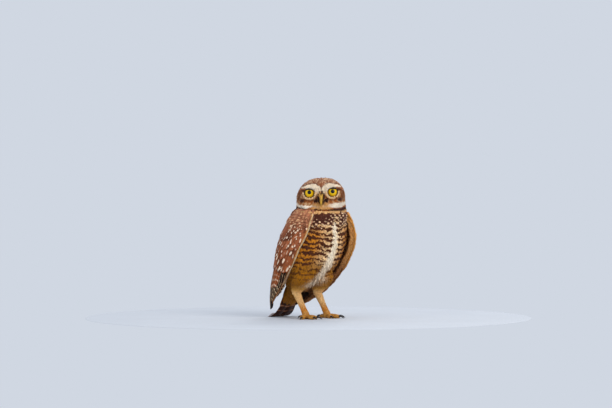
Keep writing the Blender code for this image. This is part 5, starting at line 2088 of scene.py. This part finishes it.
class Nodes:
    """A small helper that adds shader nodes and joins them."""

    def __init__(self, name: str) -> None:
        """Starts a material with an empty node tree.

        Args:
            name: Name of the material.
        """
        self.material = bpy.data.materials.new(name)
        self.material.use_nodes = True
        self.tree = self.material.node_tree
        self.tree.nodes.clear()
        self.output = self.tree.nodes.new("ShaderNodeOutputMaterial")

    def add(self, kind: str, inputs: dict | None = None, **settings: object) -> bpy.types.Node:
        """Adds a node, sets its own settings, and sets or links its inputs.

        Args:
            kind: Type of the node.
            inputs: Values or sockets by input.
            settings: The node's own settings.

        Returns:
            The node.
        """
        node = self.tree.nodes.new(kind)
        for key, value in settings.items():
            setattr(node, key, value)
        for key, value in (inputs or {}).items():
            if isinstance(value, Socket):
                self.tree.links.new(value, node.inputs[key])
            else:
                node.inputs[key].default_value = value
        return node

    def math(self, operation: str, first: object, second: object = 0.0) -> Socket:
        """One step of arithmetic."""
        return self.add("ShaderNodeMath", {0: first, 1: second}, operation=operation).outputs[0]

    def ramp(self, value: Socket, low: float, high: float, to: tuple[float, float] = (0.0, 1.0)) -> Socket:
        """A smooth step between two values."""
        inputs = {"Value": value, "From Min": low, "From Max": high, "To Min": to[0], "To Max": to[1]}
        return self.add("ShaderNodeMapRange", inputs, interpolation_type="SMOOTHSTEP").outputs["Result"]

    def centred(self, value: Socket, amount: float) -> Socket:
        """The value less a half, times an amount."""
        return self.math("MULTIPLY", self.math("SUBTRACT", value, 0.5), amount)

    def shaded(self, colour: Socket, bright: Socket) -> Socket:
        """A colour times a brightness."""
        grey = self.add("ShaderNodeCombineColor", {0: bright, 1: bright, 2: bright}).outputs[0]
        return self.mix(1.0, colour, grey, "MULTIPLY")

    def noise(self, scale: float) -> Socket:
        """Noise in the piece's own coordinates, in metres.

        Args:
            scale: Waves a metre.

        Returns:
            The noise.
        """
        place_in = self.add("ShaderNodeTexCoord").outputs["Object"]
        inputs = {"Vector": place_in, "Scale": scale, "Detail": 3.0, "Roughness": 0.55}
        return self.add("ShaderNodeTexNoise", inputs).outputs["Fac"]

    def mix(self, share: object, low: object, high: object, blend: str = "MIX") -> Socket:
        """A mix of two colours."""
        inputs = {0: share, 6: low, 7: high}
        return self.add("ShaderNodeMix", inputs, data_type="RGBA", blend_type=blend).outputs[2]

    def finish(self, inputs: dict) -> Material:
        """Puts the surface shader on and returns the material.

        Args:
            inputs: Values or sockets of the shader.

        Returns:
            The material.
        """
        shader = self.add("ShaderNodeBsdfPrincipled", inputs)
        self.tree.links.new(shader.outputs[0], self.output.inputs["Surface"])
        return self.material


def rgba(colour: Triple) -> tuple[float, float, float, float]:
    """A colour as the eye sees it, as light with full cover."""
    return (*map(float, linear(*colour)), 1.0)


@dataclass(frozen=True)
class PlumageFinish:
    """Dull feather: ground and mark by the field, fine barbs either side of each shaft."""

    edge: float = 0.16
    barb_pitch: float = 0.55
    barb_slope: float = 0.8
    uneven: float = 0.3
    pale_edge: float = 0.07

    def build(self, name: str = "plumage") -> Material:
        """The barbs are a sine of the place along the shaft less a share of the place beside it.

        Args:
            name: Name of the material.

        Returns:
            The material.
        """
        nodes = Nodes(name)
        reads = (("Ground", "Color"), ("Mark", "Color"), ("Field", "Fac"), ("Vane", "Vector"))
        ground, mark, drawn, vane = (
            nodes.add("ShaderNodeAttribute", attribute_name=layer).outputs[socket] for layer, socket in reads
        )
        split = nodes.add("ShaderNodeSeparateXYZ", {0: vane})
        side = nodes.math("ABSOLUTE", split.outputs[0])
        wander = nodes.centred(nodes.noise(700.0), 0.5)
        share = nodes.ramp(nodes.math("ADD", drawn, wander), -self.edge, self.edge)
        along_shaft = nodes.math("SUBTRACT", split.outputs[1], nodes.math("MULTIPLY", side, self.barb_slope))
        phase = nodes.math("MULTIPLY", along_shaft, 2 * math.pi / self.barb_pitch)
        barbs = nodes.math("MULTIPLY_ADD", nodes.math("SINE", phase), 0.5)
        barbs.node.inputs[2].default_value = 0.5
        dirt, thread = nodes.centred(nodes.noise(160.0), self.uneven), nodes.centred(barbs, 0.12)
        rim = nodes.math("MULTIPLY", nodes.math("MINIMUM", side, 3.0), self.pale_edge)
        bright = nodes.math("ADD", nodes.math("ADD", nodes.math("ADD", dirt, thread), rim), 0.97)
        relief = nodes.add("ShaderNodeBump", {"Strength": 0.25, "Distance": 0.0001, "Height": barbs})
        return nodes.finish(
            {
                "Base Color": nodes.shaded(nodes.mix(share, ground, mark), bright),
                "Roughness": 0.78,
                "Specular IOR Level": 0.12,
                "Sheen Weight": 0.06,
                "Sheen Roughness": 0.5,
                "Normal": relief.outputs[0],
            }
        )


@dataclass(frozen=True)
class EyeFinish:
    """Wet eye: black pupil, yellow iris with fine rays, dark rim, by distance from the axis."""

    pupil: float = 2.8
    iris: float = 6.9
    inner: Triple = (240, 196, 8)
    outer: Triple = (206, 146, 4)
    black: tuple = (0.004, 0.0035, 0.003, 1.0)
    rim: tuple = (0.012, 0.008, 0.006, 1.0)

    def build(self, name: str = "eye") -> Material:
        """Rings are smooth steps of the stored distance, in millimetres.

        Args:
            name: Name of the material.

        Returns:
            The material.
        """
        nodes = Nodes(name)
        polar = nodes.add("ShaderNodeAttribute", attribute_name="Polar").outputs["Vector"]
        reach, turn, _ = nodes.add("ShaderNodeSeparateXYZ", {0: polar}).outputs
        inputs = {"W": nodes.math("MULTIPLY", turn, 9.0), "Scale": 1.0}
        rays = nodes.add("ShaderNodeTexNoise", inputs, noise_dimensions="1D").outputs["Fac"]
        yellow = nodes.mix(nodes.ramp(reach, self.pupil, self.iris), rgba(self.inner), rgba(self.outer))
        yellow = nodes.shaded(yellow, nodes.ramp(rays, 0.3, 0.7, (0.86, 1.06)))
        colour = nodes.mix(nodes.ramp(reach, self.pupil - 0.15, self.pupil + 0.15), self.black, yellow)
        colour = nodes.mix(nodes.ramp(reach, self.iris - 0.25, self.iris + 0.15), colour, self.rim)
        return nodes.finish({"Base Color": colour, "Roughness": 0.05, "Specular IOR Level": 0.22})


@dataclass(frozen=True)
class HornFinish:
    """Bill, claw or foot skin: two colours mottled by noise, and a little relief."""

    name: str
    base: Triple
    second: Triple
    roughness: float
    scale: float = 260.0
    relief: float = 0.15

    def build(self) -> Material:
        """Mix of both colours by noise, with a bump of a finer noise.

        Returns:
            The material.
        """
        nodes = Nodes(self.name)
        share = nodes.ramp(nodes.noise(self.scale), 0.35, 0.65)
        colour = nodes.mix(share, rgba(self.base), rgba(self.second))
        relief = {"Strength": self.relief, "Distance": 0.0002, "Height": nodes.noise(self.scale * 6)}
        inputs = {"Base Color": colour, "Roughness": self.roughness, "Specular IOR Level": 0.4}
        return nodes.finish({**inputs, "Normal": nodes.add("ShaderNodeBump", relief).outputs[0]})


# Eyes, bill, feet and claws


@dataclass
class Eye:
    """One eyeball with its bulging cornea, and the two lids round it."""

    side: Side
    rings: int = 48
    segments: int = 64
    bulge: float = 0.7
    bulge_width: float = 5.0
    gaze_out: float = 1.5
    gaze_up: float = 12.5
    lid_reach: float = 6.3
    lid_above: float = 3.3
    lid_sag: float = 0.8

    def axes(self) -> tuple[Array, Array, Array, Array]:
        """Centre of the eyeball, the way it looks, and its own right and up.

        Returns:
            The centre and the three directions.
        """
        heading = math.radians(HEAD_TURN + self.side.value * self.gaze_out)
        raised = math.radians(self.gaze_up)
        level = np.array([math.sin(heading), -math.cos(heading), 0.0])
        facing = level * math.cos(raised) + np.array([0.0, 0.0, math.sin(raised)])
        right = np.cross(level, [0.0, 0.0, 1.0])
        left, forward, height = EYE
        centre = from_head(self.side.value * left, forward, height)
        return centre, facing, right, np.cross(right, facing)

    def ball(self) -> Mesh:
        """A ball in rings about the way it looks, each ring's distance and turn stored on it.

        Radius is the eyeball's plus a swelling over the iris: bulge times e to the minus square
        of the distance from the axis over its width.

        Returns:
            The mesh.
        """
        centre, facing, right, up = self.axes()
        polar = np.linspace(0, math.pi, self.rings + 2)[1:-1]
        turn = full_turn(self.segments)
        reach = EYE_RADIUS * np.sin(polar)
        radius = EYE_RADIUS + np.where(polar < 1.6, self.bulge * bump(reach, self.bulge_width), 0.0)
        out = np.cos(turn)[:, None] * right + np.sin(turn)[:, None] * up
        rings = centre + radius[:, None, None] * (
            np.cos(polar)[:, None, None] * facing + np.sin(polar)[:, None, None] * out[None]
        )
        front, rear = centre + facing * (EYE_RADIUS + self.bulge), centre - facing * EYE_RADIUS
        points, quads, caps = closed_loft(rings, front, rear)
        mesh = outward(build_mesh(f"eye_{self.side.word}", points, quads, caps))
        behind = np.where(polar < math.pi / 2, reach, 12.0)
        table = np.zeros((len(points), 3))
        table[:-2, 0] = np.repeat(behind, self.segments)
        table[:-2, 1] = np.tile(np.abs(turn - math.pi), self.rings)
        table[-1, 0] = 12.0
        store(mesh, "Polar", "FLOAT_VECTOR", "vector", table)
        return mesh

    def lid(self) -> Mesh:
        """Bare dark lids: a band on a ball a little larger than the eye, thick at its inner rim.

        The band's inner edge lies at the opening's reach, cut off level above, and its outer
        edge under the face feathers; its section is a rounded strip.

        Returns:
            The mesh.
        """
        centre, facing, right, up = self.axes()
        turn = full_turn(84)
        level = self.lid_above / np.maximum(np.sin(turn), 0.3)
        opening = np.minimum(self.lid_reach + self.lid_sag * smooth(-np.sin(turn), 0, 1), level)
        inner = np.arcsin(opening / (EYE_RADIUS + 0.5))
        share = np.linspace(0, 1, 7)
        polar = inner[:, None] + (math.radians(84) - inner[:, None]) * share
        thick = 0.5 + 0.5 * bump(share, 0.2)
        outer, under = EYE_RADIUS + (0.1 + thick), EYE_RADIUS + (0 * thick + 0.08)
        out = (np.cos(turn)[:, None] * right + np.sin(turn)[:, None] * up)[:, None]
        lie = np.cos(polar)[..., None] * facing + np.sin(polar)[..., None] * out
        faces = (outer[:, None] * lie, (under[:, None] * lie)[:, ::-1])
        rings = np.concatenate(faces, axis=1) + centre
        count, sides = rings.shape[:2]
        i, j = np.arange(count)[:, None], np.arange(sides)[None, :]
        after, beside = (i + 1) % count, (j + 1) % sides
        row, next_row = i * sides, after * sides
        quads = np.stack([row + j, next_row + j, next_row + beside, row + beside], axis=-1)
        return outward(build_mesh(f"lid_{self.side.word}", rings, quads))


@dataclass
class Bill:
    """The hooked upper bill, and the lower one under it."""

    upper_path: tuple = ((20, 177.5), (28.5, 177.6), (34, 173.8), (35.8, 167.5), (33.4, 160.5))
    upper_widths: tuple = (3.4, 3.1, 2.3, 1.6, 0.32)
    upper_heights: tuple = (3.6, 3.5, 3.2, 2.1, 0.4)
    lower_path: tuple = ((20, 171.5), (28, 170.0), (32.6, 165.4))
    lower_widths: tuple = (3.0, 2.4, 0.5)
    lower_heights: tuple = (3.4, 2.7, 0.4)
    ridge: float = 0.35

    def half(self, name: str, path: tuple, widths: tuple, heights: tuple, ridge: float) -> Mesh:
        """Rings in the head's middle plane, narrower at the top where the ridge runs.

        Args:
            name: Name of the mesh.
            path: Points forward and up from the head's axis.
            widths: Half widths along it.
            heights: Half heights along it.
            ridge: Share by which the top is narrower.

        Returns:
            The mesh.
        """
        count, sides = 40, 32
        line, widths, heights = (along(np.array(values, float), count) for values in (path, widths, heights))
        spine = from_head(0.0, line[:, 0], line[:, 1])
        left = unit(turn_from_head(1.0, 0.0, 0.0))
        heading = unit(np.gradient(spine, axis=0))
        above = np.cross(left, heading)
        turns = full_turn(sides)
        narrow = 1 - ridge * np.clip(np.sin(turns), 0, 1) ** 2
        across = widths[:, None, None] * (np.cos(turns) * narrow)[None, :, None] * left
        upward = heights[:, None, None] * np.sin(turns)[None, :, None] * above[:, None]
        rings = spine[:, None] + across + upward
        return outward(build_mesh(name, *closed_loft(rings)))

    def build(self) -> dict[str, Mesh]:
        """Both halves by the name of the solid that each stands for.

        Returns:
            The meshes.
        """
        upper = (self.upper_path, self.upper_widths, self.upper_heights, self.ridge)
        lower = (self.lower_path, self.lower_widths, self.lower_heights, 0.0)
        sizes = {"bill_upper": upper, "bill_lower": lower}
        return {name: self.half(name, *half) for name, half in sizes.items()}


@dataclass
class Foot:
    """A foot with four toes and the claws at their ends."""

    leg: LegForm
    voxel: float = 0.00038
    pad_radii: tuple[float, ...] = (3.5, 4.3, 5.0, 5.4, 5.2, 4.6)
    ankle: float = 0.13
    clear: float = 0.15
    toes: dict = field(default_factory=lambda: TOES)

    def ahead(self, turn: float) -> Array:
        """The level direction in which a toe points."""
        angle = math.radians(turn + self.leg.stance["toes_out"])
        return np.array([self.leg.side.value * math.sin(angle), -math.cos(angle), 0.0])

    def start(self) -> Array:
        """The place on the floor from which the toes grow."""
        return np.array(self.leg.stance["foot"], float) * (1, 1, 0)

    def foot(self) -> Mesh:
        """Pad and toes with rounded scutes across their tops, joined into one skin.

        A toe's radius carries a ripple along it, the absolute sine of its length, for the scutes.

        Returns:
            The mesh.
        """
        heel, sole = (np.array(self.leg.stance[key], float) for key in ("heel", "foot"))
        middle = np.stack([sole + self.ankle * (heel - sole), sole, self.start() + (0, 0, 0.3)])
        forms = [tube_rings(along(middle, 12), along(np.array(self.pad_radii), 12), 28, (0, 1, 0))]
        for length, turn, radius in self.toes.values():
            low = radius * 0.82
            reaches = np.array([1.0, *(length * np.array([0.45, 0.75, 1.0]))])
            heights = np.array([2.9, low + 0.9, low, low])
            ahead = reaches[:, None] * self.ahead(turn)
            path = along(self.start() + ahead + heights[:, None] * (0, 0, 1), 60)
            shape = along(radius * np.array([1.12, 0.9, 1.0, 0.72]), 60)
            scutes = 1 + 0.07 * np.abs(np.sin(np.linspace(0, math.pi * length / 1.9, 60)))
            forms.append(tube_rings(path, shape * scutes, 24, (0, 0, 1)))
        for rings in forms:
            rings[..., 2] = np.maximum(rings[..., 2], self.clear)
        return welded(f"foot_{self.leg.side.word}_toes", forms, self.voxel, 2)

    def claw(self, toe: str) -> Mesh:
        """A tapering claw that arches from the toe's end to the floor.

        Args:
            toe: Name of the toe.

        Returns:
            The mesh.
        """
        length, turn, radius = self.toes[toe]
        ahead, low = self.ahead(turn), radius * 0.82
        root = self.start() + ahead * (length - 0.8)
        reaches = 9.8 * np.array([0, 0.38, 0.75, 1.0])
        heights = np.array([low, low + 0.9, low * 0.72, 0.35])
        path = along(root + reaches[:, None] * ahead + heights[:, None] * (0, 0, 1), 24)
        radii = along(np.array([1.4, 1.35, 1.2, 0.95, 0.6, 0.18]), 24)
        rings = tube_rings(path, radii, 16, (0, 0, 1))
        rings[..., 2] = np.maximum(rings[..., 2], 0.05)
        return outward(build_mesh(f"claw_{self.leg.side.word}_{toe}", *closed_loft(rings)))


# Room, light and camera


@dataclass
class Studio:
    """Pale floor disc, even surround, three soft lights and the photo's camera."""

    azimuth: float = -45.0
    elevation: float = 1.5
    distance: float = 6.0
    lens: float = 247.0
    target_beside: float = -14.3
    target_height: float = 163.7

    def directions(self) -> tuple[Array, Array]:
        """The level way to the camera, and the camera's right.

        Returns:
            Both directions.
        """
        azimuth = math.radians(self.azimuth)
        back = np.array([math.sin(azimuth), -math.cos(azimuth), 0.0])
        return back, np.array([math.cos(azimuth), math.sin(azimuth), 0.0])

    def camera(self) -> None:
        """A long lens far off, aimed so that the feet fall where the photo has them."""
        back, right = self.directions()
        target = place(right * self.target_beside + np.array([0, 0, self.target_height]))
        tilt = math.radians(self.elevation)
        where = target + self.distance * (back * math.cos(tilt) + np.array([0, 0, math.sin(tilt)]))
        data = bpy.data.cameras.new("camera")
        data.lens = self.lens
        data.sensor_width = 36.0
        camera = linked("camera", data)
        camera.location = where
        camera.rotation_euler = (math.pi / 2 - tilt, 0.0, math.radians(self.azimuth))
        bpy.context.scene.camera = camera

    def light(
        self, name: str, toward: Array, distance: float, size: float, power: float, colour: Triple
    ) -> None:
        """One square soft light that shines at the bird's middle.

        Args:
            name: Name of the light.
            toward: Way from the bird to it.
            distance: Metres from the bird.
            size: Edge of the square in metres.
            power: Watts.
            colour: Its tint.
        """
        data = bpy.data.lights.new(name, "AREA")
        data.shape = "SQUARE"
        data.size = size
        data.energy = power
        data.color = colour
        lamp = linked(name, data)
        middle = place(np.array([0.0, 0.0, 110.0]))
        where = middle + unit(toward) * distance
        lamp.location = where
        lamp.rotation_euler = Vector((middle - where).tolist()).to_track_quat("-Z", "Y").to_euler()

    def lights(self) -> None:
        """Key light from the camera's upper right, a weaker one from its left, one behind."""
        back, right = self.directions()
        up = np.array([0.0, 0.0, 1.0])
        self.light("key", back + 0.75 * right + 0.85 * up, 1.9, 0.9, 17.0, (1.0, 0.97, 0.93))
        self.light("fill", back - 1.1 * right + 0.35 * up, 2.2, 1.4, 8.0, (0.95, 0.97, 1.0))
        self.light("rim", -back + 0.4 * right + 1.1 * up, 1.8, 0.9, 9.0, (1.0, 1.0, 1.0))

    def world(self) -> None:
        """An even pale blue-grey surround."""
        world = bpy.data.worlds.new("surround")
        world.use_nodes = True
        background = world.node_tree.nodes["Background"]
        background.inputs[0].default_value = rgba((208, 215, 226))
        background.inputs[1].default_value = 1.0
        bpy.context.scene.world = world

    def floor(self) -> None:
        """A pale disc under the bird, its upper face at floor level."""
        turns = full_turn(96)
        circle = np.stack([np.cos(turns), np.sin(turns), 0 * turns], axis=-1) * 320
        rings = np.stack([circle * 0.5, circle, circle - [0, 0, 0.3], circle * 0.5 - [0, 0, 2]])
        mesh = outward(build_mesh("floor", *closed_loft(rings + FOOTPRINT_CENTRE)))
        mesh.polygons.foreach_set("use_smooth", np.zeros(len(mesh.polygons), bool))
        finish = HornFinish("floor_paint", (201, 205, 211), (199, 203, 209), 0.9, 12.0, 0.0)
        mesh.materials.append(finish.build())
        linked("floor", mesh)

    def build(self) -> None:
        """Everything round the bird."""
        self.world()
        self.floor()
        self.lights()
        self.camera()
        bpy.context.scene.view_settings.view_transform = "Standard"


def build_flesh(plumage: Material) -> None:
    """The skin, and the feathers over the smooth forms that it follows.

    Args:
        plumage: Finish of the plumage.
    """
    form, tail, skin = BodyForm(), TailForm(), Skin()
    body = form.surface()
    forms = {side: WingForm(side) for side in Side}
    legs = {side: LegForm(side) for side in Side}
    mesh = skin.build(form, [wing.core_rings(body) for wing in forms.values()], list(legs.values()), tail)
    skin.dress(mesh)
    flesh = ["head", "neck", "torso", "tail"]
    flesh += [f"{part}_{side.word}" for part in ("wing", "thigh", "shank") for side in Side]
    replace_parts(add_piece("skin", mesh, plumage), *flesh)
    wings = {side: wing.surface(body) for side, wing in forms.items()}
    linings = {side: wing.inner_face(body) for side, wing in forms.items()}
    rims = {side: (wing.rim(body, 0.0), wing.rim(body, 1.0)) for side, wing in forms.items()}
    feathers = Plumage(body, wings, linings, rims)
    coats = [feathers.head(), feathers.bristles(), feathers.neck_and_body()]
    coats += [feathers.legs(legs), feathers.tail(tail), *(feathers.wing(side) for side in Side)]
    for coat in coats:
        coat.finish(plumage)


def build_details() -> None:
    """Eyes, lids, bill, feet and claws."""
    eye_finish = EyeFinish().build()
    lid_finish = HornFinish("lid_skin", (34, 22, 16), (24, 15, 11), 0.85).build()
    bill_finish = HornFinish("bill_horn", (206, 156, 40), (170, 126, 40), 0.38).build()
    claw_finish = HornFinish("claw_horn", (40, 30, 26), (26, 20, 18), 0.35).build()
    skin_finish = HornFinish("foot_hide", (196, 138, 52), (160, 104, 38), 0.6, 500.0, 0.5).build()
    for side in Side:
        eye, foot = Eye(side), Foot(LegForm(side))
        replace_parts(add_piece(f"eyeball_{side.word}", eye.ball(), eye_finish), f"eye_{side.word}")
        add_piece(f"eyelid_{side.word}", eye.lid(), lid_finish)
        piece = add_piece(f"foot_skin_{side.word}", foot.foot(), skin_finish)
        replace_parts(piece, f"foot_{side.word}")
        for toe in foot.toes:
            piece = add_piece(f"horn_{side.word}_{toe}", foot.claw(toe), claw_finish)
            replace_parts(piece, f"claw_{side.word}_{toe}")
    for node, mesh in Bill().build().items():
        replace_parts(add_piece(node + "_horn", mesh, bill_finish), node)


def main() -> None:
    """Builds the bird and the room round it."""
    logging.basicConfig(level=logging.INFO, format="%(message)s")
    plumage = PlumageFinish().build()
    build_flesh(plumage)
    build_details()
    Studio().build()


if __name__ == "__main__":
    main()
